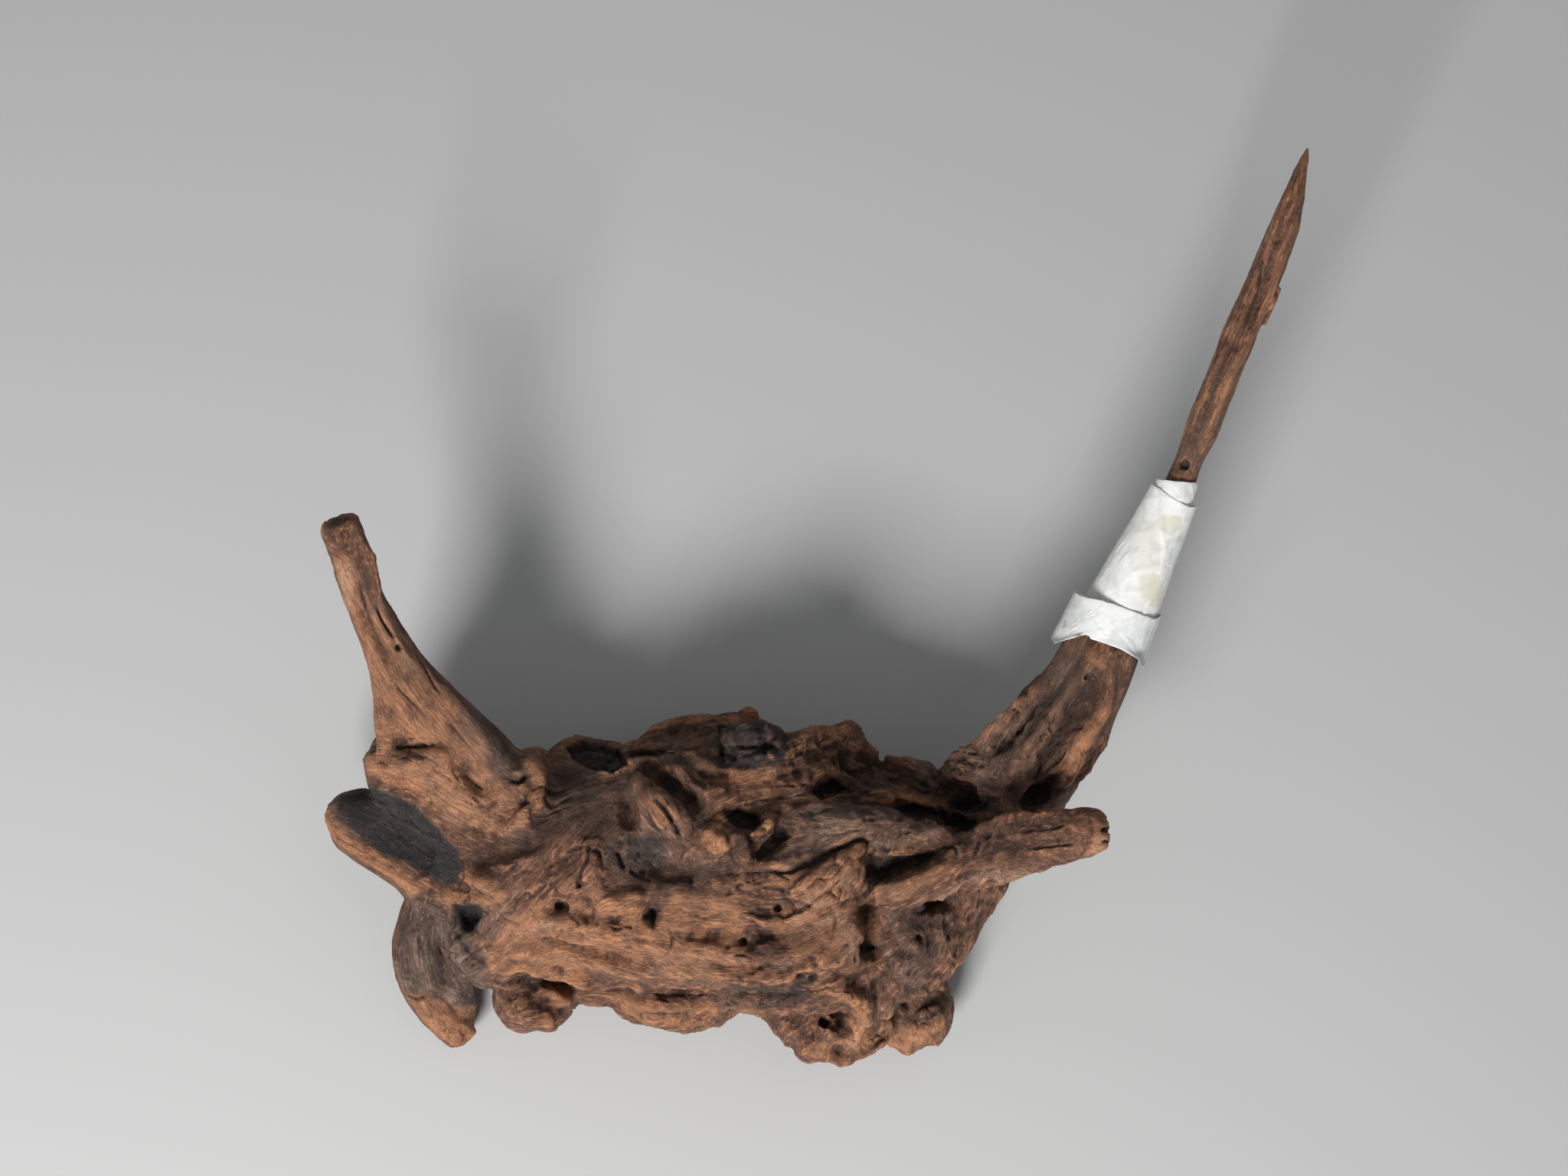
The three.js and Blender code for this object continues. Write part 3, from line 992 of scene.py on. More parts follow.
STAINS = [
    # Char, and painted deep shade in pits, holes, under the shelf and along the far edge.
    blackened(
        4, 1.0,
        (17, 182), (33, 187), (51, 180), (71, 172), (86, 158), (102, 140), (106, 130), (102, 122),
        (94, 118), (84, 124), (61, 135), (36, 149), (16, 164),
    ),
    blackened(3, 1.0, (97, 106), (118, 106), (119, 98), (111, 86), (102, 88), (97, 97)),
    blackened(
        3, 0.62,
        (170, 214), (179, 220), (195, 218), (214, 206), (217, 197), (206, 191), (189, 195), (174, 204),
    ),
    blackened(3, 0.56, (213, 209), (235, 210), (253, 205), (237, 201), (216, 201)),
    blackened(3, 0.95, (275, 227), (319, 226), (324, 218), (318, 196), (300, 194), (279, 194)),
    blackened(
        3, 0.62,
        (393, 170), (409, 173), (426, 170), (437, 167), (448, 158), (442, 151), (431, 150), (427, 158),
        (422, 163), (400, 166),
    ),
    blackened(3, 0.59, (431, 176), (444, 179), (458, 173), (456, 165), (441, 162), (434, 167)),
    blackened(
        3, 0.62,
        (336, 178), (346, 187), (360, 196), (378, 197), (398, 188), (383, 182), (377, 177), (359, 175),
        (344, 171),
    ),
    blackened(3, 0.56, (407, 191), (414, 189), (421, 183), (419, 180), (410, 184)),
    blackened(3, 0.56, (280, 165), (290, 168), (301, 163), (308, 158), (302, 152), (291, 153), (283, 156)),
    blackened(
        3, 0.53,
        (315, 160), (323, 155), (324, 147), (314, 142), (303, 132), (299, 135), (306, 144), (313, 152),
    ),
    blackened(4, 0.59, (375, 131), (383, 129), (400, 135), (403, 130), (384, 119), (377, 120)),
    blackened(4, 0.75, (219, 149), (241, 146), (242, 135), (233, 133), (218, 135)),
    blackened(3, 0.56, (231, 104), (237, 105), (238, 94), (235, 87), (231, 91)),
    blackened(3, 0.50, (367, 81), (384, 81), (383, 74), (367, 73)),
    blackened(4, 0.6, (281, 51), (308, 52), (337, 52), (339, 41), (307, 37), (281, 39)),
    blackened(2, 0.6, (135, 189), (143, 182), (150, 189), (147, 193), (142, 187)),
    blackened(4, 0.53, (406, 100), (417, 107), (434, 113), (435, 110), (420, 102), (411, 97)),
    black_shade(5, 0.9, (400, 40)),
    black_shade(5, 0.8, (331, 57), (339, 57)),
    black_shade(5, 0.6, (348, 28)),
    black_shade(4, 0.4, (132, 54), (151, 54), (192, 50)),
    # Purple-brown patches: painted shade in valleys and on the far side, with some darker wood; and a
    # grey-brown face.
    greyed(
        4, 1.0,
        (72, 113), (90, 102), (122, 69), (116, 45), (100, 36), (76, 45), (55, 53), (53, 74), (61, 100),
    ),
    dark(16, 0.6, (187, 173), (203, 150)),
    darkened(5, 0.75, (232, 194), (260, 190), (270, 170), (269, 154), (263, 158), (255, 169), (242, 177)),
    darkened(6, 0.6, (208, 136), (248, 132), (288, 125), (286, 112), (248, 109), (218, 115)),
    darkened(4, 0.7, (286, 150), (295, 152), (299, 141), (300, 132), (291, 127), (286, 134)),
    darkened(6, 0.6, (426, 184), (455, 181), (465, 166), (442, 149), (423, 162)),
    darkened(8, 0.55, (461, 217), (500, 225), (510, 215), (497, 174), (475, 170), (460, 181)),
    dark(9, 0.6, (338, 165), (358, 166), (384, 165)),
    dark(14, 0.5, (365, 207), (401, 197), (432, 178)),
    dark(12, 0.5, (231, 196), (272, 194)),
    dark(12, 0.5, (246, 211), (271, 218)),
    dark(9, 0.35, (114, 140), (140, 140), (159, 145)),
    dark(9, 0.5, (505, 232), (488, 210), (480, 198)),
    dark(12, 0.45, (408, 130), (437, 139), (476, 149)),
    dark(10, 0.4, (404, 88), (414, 71)),
    dark(12, 0.4, (301, 76), (338, 78)),
    dark(12, 0.4, (68, 263), (93, 245)),
    dark(14, 0.5, (113, 247), (128, 218)),
    dark(10, 0.5, (408, 46), (426, 40)),
    # Worn to orange.
    orange(8, 0.75, (7, 168), (14, 150), (36, 136), (70, 117)),
    worn(3, 0.85, (75, 58), (81, 45), (92, 38), (109, 35), (107, 11), (89, 10), (76, 21), (64, 37)),
    orange(9, 0.7, (100, 203), (117, 191), (129, 176)),
    orange(6, 0.8, (151, 200), (158, 187), (155, 172)),
    orange(7, 0.75, (105, 126), (124, 120), (131, 112)),
    orange(6, 0.7, (97, 109), (125, 109)),
    worn(3, 0.85, (266, 152), (276, 157), (286, 151), (288, 142), (280, 136), (270, 141)),
    orange(5, 0.9, (276, 118)),
    orange(4, 0.95, (311, 161)),
    orange(9, 0.6, (277, 190), (290, 192), (303, 187)),
    orange(10, 0.75, (354, 225)),
    worn(3, 0.8, (365, 144), (374, 146), (373, 131), (369, 126), (362, 134)),
    orange(7, 0.75, (341, 174), (359, 178), (390, 177), (424, 172)),
    orange(10, 0.6, (373, 99), (381, 93), (379, 85)),
    worn(
        4, 0.75,
        (343, 51), (368, 51), (378, 37), (371, 24), (386, 22), (376, 10), (355, 2), (333, 7), (338, 12),
        (359, 13), (364, 25), (368, 38),
    ),
    worn(4, 0.7, (386, 11), (402, 23), (429, 26), (431, 20), (412, 8), (394, 6)),
    orange(8, 0.6, (211, 35), (239, 27), (270, 29), (300, 36)),
    orange(6, 0.9, (165, 41), (173, 43)),
    orange(5, 0.9, (152, 25), (160, 26)),
    orange(10, 0.5, (123, 74), (155, 71), (165, 66)),
    orange(9, 0.5, (157, 98), (178, 103), (203, 106)),
    orange(8, 0.7, (208, 106), (223, 103)),
    orange(10, 0.4, (156, 83), (187, 78), (238, 73)),
    orange(9, 0.45, (258, 100), (273, 93), (288, 77)),
    orange(9, 0.7, (526, 158), (536, 154), (534, 142)),
    # Painted highlight along a ridge of the longest root.
    orange(5, 0.6, (529, 270), (505, 236), (485, 206)),
    orange(6, 0.7, (287, 232), (302, 231)),
    # Bleached.
    greyed(
        3, 0.55,
        (220, 190), (225, 191), (233, 184), (254, 169), (262, 159), (255, 142), (243, 147), (233, 151),
        (225, 152), (226, 162), (222, 172), (218, 185),
    ),
    # Bleached bark down the left root's left edge, brightened as a painted highlight.
    pale(5, 0.8, (38, 317), (37, 296)),
    pale(8, 0.4, (59, 292), (77, 259)),
    pale(12, 0.3, (75, 196), (104, 166), (140, 156)),
    pale(6, 0.5, (375, 25), (365, 10)),
    pale(8, 0.35, (328, 95), (355, 120)),
    # Painted light along the stub's lit near edge.
    pale(5, 0.7, (412, 106), (434, 115), (452, 126), (468, 120), (507, 126)),
    pale(4, 0.6, (363, 90), (362, 76)),

    worn(
        5, 0.75,
        (39, 206), (54, 204), (75, 201), (100, 191), (124, 174), (150, 166), (146, 155), (124, 153),
        (99, 161), (74, 179), (52, 188), (38, 194),
    ),
    worn(
        8, 0.62,
        (123, 76), (147, 101), (178, 105), (208, 110), (223, 103), (238, 88), (222, 65), (185, 61),
        (153, 65),
    ),
    worn(
        8, 0.55,
        (248, 112), (278, 115), (296, 95), (288, 76), (303, 65), (272, 55), (242, 60), (233, 76),
        (242, 95),
    ),
    worn(6, 0.5, (313, 98), (338, 105), (358, 120), (363, 100), (358, 76), (338, 65), (318, 73)),
    orange(5, 0.7, (126, 63), (150, 62), (181, 57), (218, 50)),
    orange(5, 0.6, (201, 43), (234, 38), (271, 37), (300, 43)),
    pale(5, 0.5, (308, 78), (338, 89), (358, 95)),
    pale(4, 0.5, (288, 70), (308, 65), (328, 68)),
    pale(5, 0.5, (151, 85), (167, 93), (183, 98)),
    # Painted light along the stub's lit near edge.
    orange(6, 0.6, (467, 122), (506, 129), (527, 135)),

    greyed(6, 0.8, (219, 150), (241, 146), (248, 139), (238, 125), (218, 125), (203, 135), (208, 145)),
    greyed(
        6, 0.7,
        (326, 166), (364, 169), (395, 168), (423, 162), (426, 150), (398, 141), (376, 143), (358, 148),
        (338, 135), (325, 128), (308, 135), (323, 149),
    ),
    greyed(8, 0.6, (388, 101), (425, 101), (430, 81), (410, 56), (389, 61), (383, 81)),
    greyed(
        8, 0.6,
        (406, 194), (457, 218), (487, 247), (510, 265), (519, 254), (495, 215), (455, 176), (427, 178),
    ),
    greyed(6, 0.5, (122, 249), (147, 206), (144, 192), (129, 192), (105, 231)),
    greyed(6, 0.6, (8, 175), (31, 189), (74, 174), (103, 141), (103, 127), (81, 127), (37, 150), (16, 161)),
    # Painted shade towards the far side of the crown, with some darker wood.
    darkened(5, 0.7, (163, 199), (206, 189), (221, 190), (218, 170), (214, 149), (188, 152), (176, 171)),
    darkened(4, 0.8, (215, 206), (280, 202), (288, 194), (257, 195), (221, 197)),

    # Painted shade in the valley below the left root.
    darkened(
        5, 0.7,
        (164, 187), (178, 176), (188, 155), (178, 145), (157, 140), (136, 136), (113, 138), (124, 144),
        (151, 149), (162, 166),
    ),
    orange(5, 0.9, (24, 342), (27, 354), (40, 346)),
    dark(6, 0.8, (29, 340), (36, 346)),
    worn(10, 0.5, (29, 296), (59, 287), (86, 255), (124, 204), (105, 196), (75, 208), (44, 212), (48, 245)),
    # Painted shade in the longest root's valleys.
    dark(10, 0.75, (521, 242), (508, 220), (495, 201), (486, 181)),
    dark(8, 0.9, (480, 171), (493, 174), (500, 185)),
    dark(9, 0.7, (430, 182), (444, 177), (455, 179)),
    # Painted highlight along the longest root's ridges.
    orange(4, 0.9, (530, 270), (526, 261)),
    orange(5, 0.85, (497, 228), (485, 211), (471, 195)),
    orange(6, 0.75, (530, 228), (516, 211), (507, 196)),
    orange(6, 0.6, (487, 247), (461, 224), (441, 209)),
    pale(3, 0.7, (511, 245), (499, 229)),
    worn(2, 1.0, (516, 137), (519, 147), (527, 158), (540, 157), (540, 148), (532, 139), (524, 136)),
    pale(4, 0.8, (528, 150), (523, 140)),
    # Painted light along the stub's lit near edge.
    pale(3, 0.9, (457, 123), (477, 124), (497, 128), (516, 135)),
    paled(2, 0.6, (518, 138), (522, 149), (529, 156), (541, 155), (541, 148), (532, 139)),
    # Bleached bark down the left root's left edge, brightened as a painted highlight.
    orange(7, 0.8, (36, 319), (39, 296)),
    pale(4, 0.9, (35, 318), (37, 302)),
    orange(5, 0.6, (338, 110), (358, 125), (372, 140)),
    orange(6, 0.55, (318, 120), (338, 125)),
    pale(2, 0.5, (220, 189), (230, 187), (242, 177)),
    orange(4, 0.5, (223, 186), (228, 170)),
    orange(5, 0.8, (525, 142), (525, 154)),
]


def masks_from(surface: Surface, stains: list[Stain], cell: float) -> dict[Tint, Array]:
    """Turn stains into masks.

    Args:
        surface: The surface that wears them.
        stains: The stains.
        cell: How coarsely their edges are ragged, in metres.

    Returns:
        One value between 0 and 1 for each vertex, for each tint.
    """
    tree = surface.tree()
    masks = {tint: np.zeros(len(surface.places)) for tint in Tint}
    ragged = layered_noise(surface.places / cell, 41, 3) * 0.45
    for stain in stains:
        line, _ = project(stain.path, tree)
        if stain.outline:
            share = 0.5 + inside_outline(surface, line) / (stain.width * MM)
        else:
            line = np.vstack([line, line[-1:] + [1e-6, 0.0, 0.0]])
            share = 1.15 - along_line(surface.places, line)[0] / (stain.width * MM)
        amount = stain.strength * smooth_step(0.0, 0.55, share + ragged)
        masks[stain.tint] = np.maximum(masks[stain.tint], amount)
    return masks


# ---------------------------------------------------------------- node materials


class Shader:
    """A small helper that lays out one material's nodes."""

    def __init__(self, name: str) -> None:
        """Start a material with a plain Principled shader.

        Args:
            name: The material's name.
        """
        self.material = bpy.data.materials.new(name)
        self.material.use_nodes = True
        self.tree = self.material.node_tree
        self.surface = self.tree.nodes["Principled BSDF"]

    def node(self, kind: str, **settings: object) -> bpy.types.Node:
        """Add a node and set its own properties.

        Args:
            kind: The node's type.
            settings: Its properties.

        Returns:
            The node.
        """
        made = self.tree.nodes.new(kind)
        for key, value in settings.items():
            setattr(made, key, value)
        return made

    def link(self, source: Socket, target: Socket) -> None:
        """Join two sockets."""
        self.tree.links.new(source, target)

    def attribute(self, name: str) -> bpy.types.Node:
        """Read a mesh attribute."""
        return self.node("ShaderNodeAttribute", attribute_name=name)

    def channels(self, name: str) -> list[Socket]:
        """Read a colour attribute.

        Args:
            name: The attribute's name.

        Returns:
            Its three channels.
        """
        split = self.node("ShaderNodeSeparateColor")
        self.link(self.attribute(name).outputs["Color"], split.inputs[0])
        return list(split.outputs)

    def stretched(self, source: Socket, scale: Colour) -> Socket:
        """Scale a vector.

        Args:
            source: The vector.
            scale: A factor for each of its three parts.

        Returns:
            The scaled vector.
        """
        mapping = self.node("ShaderNodeMapping")
        mapping.inputs["Scale"].default_value = scale
        self.link(source, mapping.inputs["Vector"])
        return mapping.outputs[0]

    def noise(self, source: Socket, scale: float, detail: float, rough: float = 0.55) -> Socket:
        """Add a noise texture.

        Args:
            source: The coordinates that it reads.
            scale: How many lumps there are to a unit.
            detail: How many finer layers are added.
            rough: How strong the finer layers are.

        Returns:
            The noise, between 0 and 1.
        """
        texture = self.node("ShaderNodeTexNoise")
        texture.inputs["Scale"].default_value = scale
        texture.inputs["Detail"].default_value = detail
        texture.inputs["Roughness"].default_value = rough
        self.link(source, texture.inputs["Vector"])
        return texture.outputs["Fac"]

    def spread(self, source: Socket, low: float, high: float, to: Spot = (0.0, 1.0)) -> Socket:
        """Map one range onto another, clamped.

        Args:
            source: The value.
            low: Where the first range starts.
            high: Where it ends.
            to: Where the second range starts and ends.

        Returns:
            The mapped value.
        """
        ranged = self.node("ShaderNodeMapRange")
        ranged.inputs["From Min"].default_value = low
        ranged.inputs["From Max"].default_value = high
        ranged.inputs["To Min"].default_value = to[0]
        ranged.inputs["To Max"].default_value = to[1]
        self.link(source, ranged.inputs["Value"])
        return ranged.outputs[0]

    def ramp(self, source: Socket, stops: list[tuple[float, Colour]]) -> Socket:
        """Turn a value into a colour.

        Args:
            source: The value.
            stops: Places between 0 and 1, each with its colour.

        Returns:
            The colour.
        """
        made = self.node("ShaderNodeValToRGB")
        elements = made.color_ramp.elements
        while len(elements) < len(stops):
            elements.new(0.5)
        for element, (place, colour) in zip(elements, stops):
            element.position = place
            element.color = (*colour, 1.0)
        self.link(source, made.inputs[0])
        return made.outputs[0]

    def _feed(self, socket: Socket, value: Socket | Colour | float) -> None:
        """Give a socket its source: another socket, a colour or a number.

        Args:
            socket: The socket that is fed.
            value: What it is fed with.
        """
        if isinstance(value, bpy.types.NodeSocket):
            self.link(value, socket)
        elif isinstance(value, tuple):
            socket.default_value = (*value, 1.0)
        else:
            socket.default_value = value

    def mixed(self, share: Socket | float, first: Socket | Colour, second: Socket | Colour) -> Socket:
        """Mix two colours.

        Args:
            share: How much of the second colour there is.
            first: The first colour.
            second: The second colour.

        Returns:
            The mix.
        """
        made = self.node("ShaderNodeMix", data_type="RGBA")
        self._feed(made.inputs["Factor"], share)
        self._feed(made.inputs[6], first)
        self._feed(made.inputs[7], second)
        return made.outputs[2]

    def sum(self, kind: str, first: Socket | float, second: Socket | float) -> Socket:
        """Combine two values.

        Args:
            kind: The operation, as the maths node names it.
            first: The first value.
            second: The second value.

        Returns:
            The result.
        """
        made = self.node("ShaderNodeMath", operation=kind)
        self._feed(made.inputs[0], first)
        self._feed(made.inputs[1], second)
        return made.outputs[0]

    def bump(self, height: Socket, distance: float, strength: float) -> None:
        """Roughen the surface's shading with a height.

        Args:
            height: The height, where 1 is the full distance.
            distance: That distance, in metres.
            strength: How much of it is used, from 0 to 1.
        """
        made = self.node("ShaderNodeBump")
        made.inputs["Strength"].default_value = strength
        made.inputs["Distance"].default_value = distance
        self.link(height, made.inputs["Height"])
        self.link(made.outputs[0], self.surface.inputs["Normal"])


@dataclass(frozen=True)
class DryWood:
    """Weathered root wood: brown fibres, orange where worn and, as painted highlight, on crests, painted
    purplish-dark shade in hollows, splits and valleys, black where burnt and as painted deep shade in pits
    and holes.
    """

    # The darkest fibres, and painted shade in the split lines.
    deep: Colour = (0.042, 0.020, 0.014)
    brown: Colour = (0.158, 0.071, 0.042)
    light: Colour = (0.37, 0.185, 0.108)
    # The colour of painted shade in hollows, pits, splits and valleys; also the darkest grey tone.
    worn: Colour = (0.52, 0.235, 0.115)
    hollow_shade: Colour = (0.040, 0.023, 0.018)
    grey: Colour = (0.115, 0.075, 0.058)
    ash: Colour = (0.235, 0.165, 0.132)
    # Char, and painted deep shade in pits and holes.
    black: Colour = (0.020, 0.019, 0.020)
    bleached: Colour = (0.50, 0.31, 0.22)
    dust: Colour = (0.66, 0.54, 0.44)

    def _strands(self, shader: Shader) -> Socket:
        """Blend each grain layer's fibres into one value.

        Args:
            shader: The material that is laid out.

        Returns:
            The fibres, between 0 and 1.
        """
        shares = shader.channels("grain_share")
        total = None
        for layer in range(GRAIN_LAYERS):
            grain = shader.attribute(f"grain_{layer}").outputs["Vector"]
            fibres = shader.noise(shader.stretched(grain, (34.0, 400.0, 400.0)), 1.0, 6.0, 0.68)
            part = shader.sum("MULTIPLY", fibres, shares[layer])
            total = part if total is None else shader.sum("ADD", total, part)
        return total

    def material(self) -> bpy.types.Material:
        """Lay out the wood's nodes.

        Returns:
            The material.
        """
        shader = Shader("dry_wood")
        place = shader.node("ShaderNodeTexCoord").outputs["Object"]
        # The relief masks: orange on crests, partly painted highlight, and painted shade in hollows, pits
        # and splits.
        crest, hollow_shade, _ = shader.channels("relief")
        # The patch masks: black char that also paints deep shade in pits and holes, orange wear, and painted
        # shade with some darker wood.
        char_and_shade_share, worn_share, dark_and_shade_share = shader.channels("patches")
        pale_share, grey_share, _ = shader.channels("bleach")
        strands = self._strands(shader)
        # Thin split lines between the fibres: dented in the bump and painted dark as shade.
        split = shader.sum("ABSOLUTE", shader.sum("SUBTRACT", strands, 0.5), 0.0)
        split = shader.spread(split, 0.0, 0.025, (1.0, 0.0))
        mottle = shader.noise(place, 75.0, 7.0, 0.68)
        patch = shader.noise(place, 21.0, 5.0, 0.6)
        speck = shader.noise(place, 900.0, 3.0, 0.6)
        crumb = shader.noise(place, 330.0, 5.0, 0.65)
        tone = shader.sum("ADD", shader.sum("MULTIPLY", strands, 0.5), shader.sum("MULTIPLY", mottle, 0.5))
        tone = shader.sum("ADD", tone, shader.spread(crumb, 0.3, 0.7, (-0.05, 0.05)))
        tone = shader.sum("ADD", tone, shader.spread(patch, 0.35, 0.65, (-0.05, 0.05)))
        colour = shader.ramp(tone, [(0.37, self.deep), (0.485, self.brown), (0.63, self.light)])
        colour = shader.mixed(shader.spread(patch, 0.50, 0.64, (0.0, 0.6)), colour, self.grey)
        fibrous = shader.spread(strands, 0.40, 0.56, (0.2, 1.0))
        # Crests go worn orange where the fibres show: wear, and painted highlight.
        edge = shader.sum("MULTIPLY", shader.spread(crest, 0.2, 0.9), fibrous)
        colour = shader.mixed(shader.sum("MULTIPLY", edge, 0.7), colour, self.worn)
        blotchy = shader.spread(mottle, 0.38, 0.55, (0.35, 1.0))
        rubbed = shader.sum("MULTIPLY", worn_share, blotchy)
        colour = shader.mixed(rubbed, colour, self.worn)
        colour = shader.mixed(shader.sum("MULTIPLY", pale_share, 0.5), colour, self.bleached)
        ashen = shader.ramp(tone, [(0.36, self.hollow_shade), (0.50, self.grey), (0.64, self.ash)])
        colour = shader.mixed(shader.sum("MULTIPLY", grey_share, 0.85), colour, ashen)
        # Painted shade in valleys and on the far side, with some darker wood.
        colour = shader.mixed(shader.sum("MULTIPLY", dark_and_shade_share, 0.8), colour, self.hollow_shade)
        # Painted shade in the fibres' split lines.
        colour = shader.mixed(shader.sum("MULTIPLY", split, 0.3), colour, self.deep)
        # Painted shade in hollows, pits and splits.
        colour = shader.mixed(shader.sum("MULTIPLY", hollow_shade, 0.85), colour, self.hollow_shade)
        # Black char, and painted deep shade in pits and holes.
        char_and_shade = shader.sum("MULTIPLY", char_and_shade_share, shader.spread(tone, 0.42, 0.58, (1.0, 0.8)))
        colour = shader.mixed(char_and_shade, colour, self.black)
        dusty = shader.sum("MULTIPLY", shader.spread(speck, 0.68, 0.73), 0.7)
        colour = shader.mixed(dusty, colour, self.dust)
        shader.link(colour, shader.surface.inputs["Base Color"])
        shader.link(shader.spread(strands, 0.3, 0.7, (0.58, 0.85)), shader.surface.inputs["Roughness"])
        shader.surface.inputs["Specular IOR Level"].default_value = 0.35
        height = shader.sum("ADD", shader.sum("MULTIPLY", strands, 1.3), shader.sum("MULTIPLY", mottle, 1.0))
        height = shader.sum("SUBTRACT", height, shader.sum("MULTIPLY", split, 0.12))
        height = shader.sum("ADD", height, shader.sum("MULTIPLY", crumb, 0.35))
        shader.bump(height, 3.0 * MM, 1.0)
        return shader.material


@dataclass(frozen=True)
class CreasedPaper:
    """White paper tape with painted grey shade along its creases, a beige stain, thin mottled patches and
    brown flecks.
    """

    white: Colour = (0.76, 0.76, 0.73)
    grey: Colour = (0.40, 0.39, 0.37)
    beige: Colour = (0.57, 0.53, 0.40)
    cool: Colour = (0.55, 0.57, 0.58)
    fleck: Colour = (0.22, 0.10, 0.06)

    def material(self) -> bpy.types.Material:
        """Lay out the paper's nodes.

        Returns:
            The material.
        """
        shader = Shader("paper_tape")
        place = shader.node("ShaderNodeTexCoord").outputs["Object"]
        crease_shade, stained, thin_paper = shader.channels("paper")
        fleck_share = shader.channels("flecks")[0]
        cloud = shader.noise(place, 60.0, 5.0, 0.6)
        mottle = shader.noise(place, 230.0, 4.0, 0.6)
        tooth = shader.noise(place, 1500.0, 3.0, 0.6)
        colour = shader.mixed(shader.spread(cloud, 0.45, 0.8, (0.0, 0.3)), self.white, self.grey)
        veined = shader.sum("MULTIPLY", thin_paper, shader.spread(mottle, 0.35, 0.6, (0.35, 1.0)))
        colour = shader.mixed(shader.sum("MULTIPLY", veined, 0.75), colour, self.cool)
        colour = shader.mixed(shader.sum("MULTIPLY", stained, 0.8), colour, self.beige)
        # Painted grey shade along the creases and crumples.
        colour = shader.mixed(shader.sum("MULTIPLY", crease_shade, 0.7), colour, self.grey)
        colour = shader.mixed(fleck_share, colour, self.fleck)
        shader.link(colour, shader.surface.inputs["Base Color"])
        shader.surface.inputs["Roughness"].default_value = 0.78
        shader.surface.inputs["Specular IOR Level"].default_value = 0.3
        height = shader.sum("ADD", shader.sum("MULTIPLY", tooth, 0.15), shader.sum("MULTIPLY", mottle, 0.35))
        shader.bump(shader.sum("ADD", height, cloud), 0.7 * MM, 0.7)
        return shader.material


# ---------------------------------------------------------------- pieces


def choose(piece: bpy.types.Object) -> None:
    """Deselect everything, then select one piece and make it the active one.

    Args:
        piece: The piece.
    """
    if bpy.context.mode != "OBJECT":
        bpy.ops.object.mode_set(mode="OBJECT")
    bpy.ops.object.select_all(action="DESELECT")
    piece.select_set(True)
    bpy.context.view_layer.objects.active = piece


def copy_of_node(node: str, name: str) -> bpy.types.Object:
    """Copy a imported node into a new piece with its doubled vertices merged.

    Args:
        node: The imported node's name.
        name: The new piece's name.

    Returns:
        The new piece.
    """
    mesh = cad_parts[node].data.copy()
    piece = bpy.data.objects.new(name, mesh)
    bpy.context.scene.collection.objects.link(piece)
    mesh.materials.clear()
    choose(piece)
    bpy.ops.object.mode_set(mode="EDIT")
    bpy.ops.mesh.select_all(action="SELECT")
    bpy.ops.mesh.remove_doubles(threshold=0.01 * MM)
    bpy.ops.object.mode_set(mode="OBJECT")
    return piece


def finish_modifier(piece: bpy.types.Object, kind: str, **settings: object) -> None:
    """Add a modifier, set it and apply it.

    Args:
        piece: The piece it works on.
        kind: The modifier's type.
        settings: Its properties.
    """
    choose(piece)
    modifier = piece.modifiers.new(kind.title(), kind)
    for key, value in settings.items():
        setattr(modifier, key, value)
    bpy.ops.object.modifier_apply(modifier=modifier.name)


def write_colour(piece: bpy.types.Object, name: str, channels: list[Array]) -> None:
    """Store up to three masks as a colour attribute.

    Args:
        piece: The piece that wears them.
        name: The attribute's name.
        channels: One value between 0 and 1 for each vertex, for each mask.
    """
    rows = np.ones((len(piece.data.vertices), 4), np.float32)
    rows[:, :3] = 0.0
    for column, values in enumerate(channels):
        rows[:, column] = np.clip(values, 0.0, 1.0)
    layer = piece.data.attributes.new(name, "FLOAT_COLOR", "POINT")
    layer.data.foreach_set("color", rows.ravel())


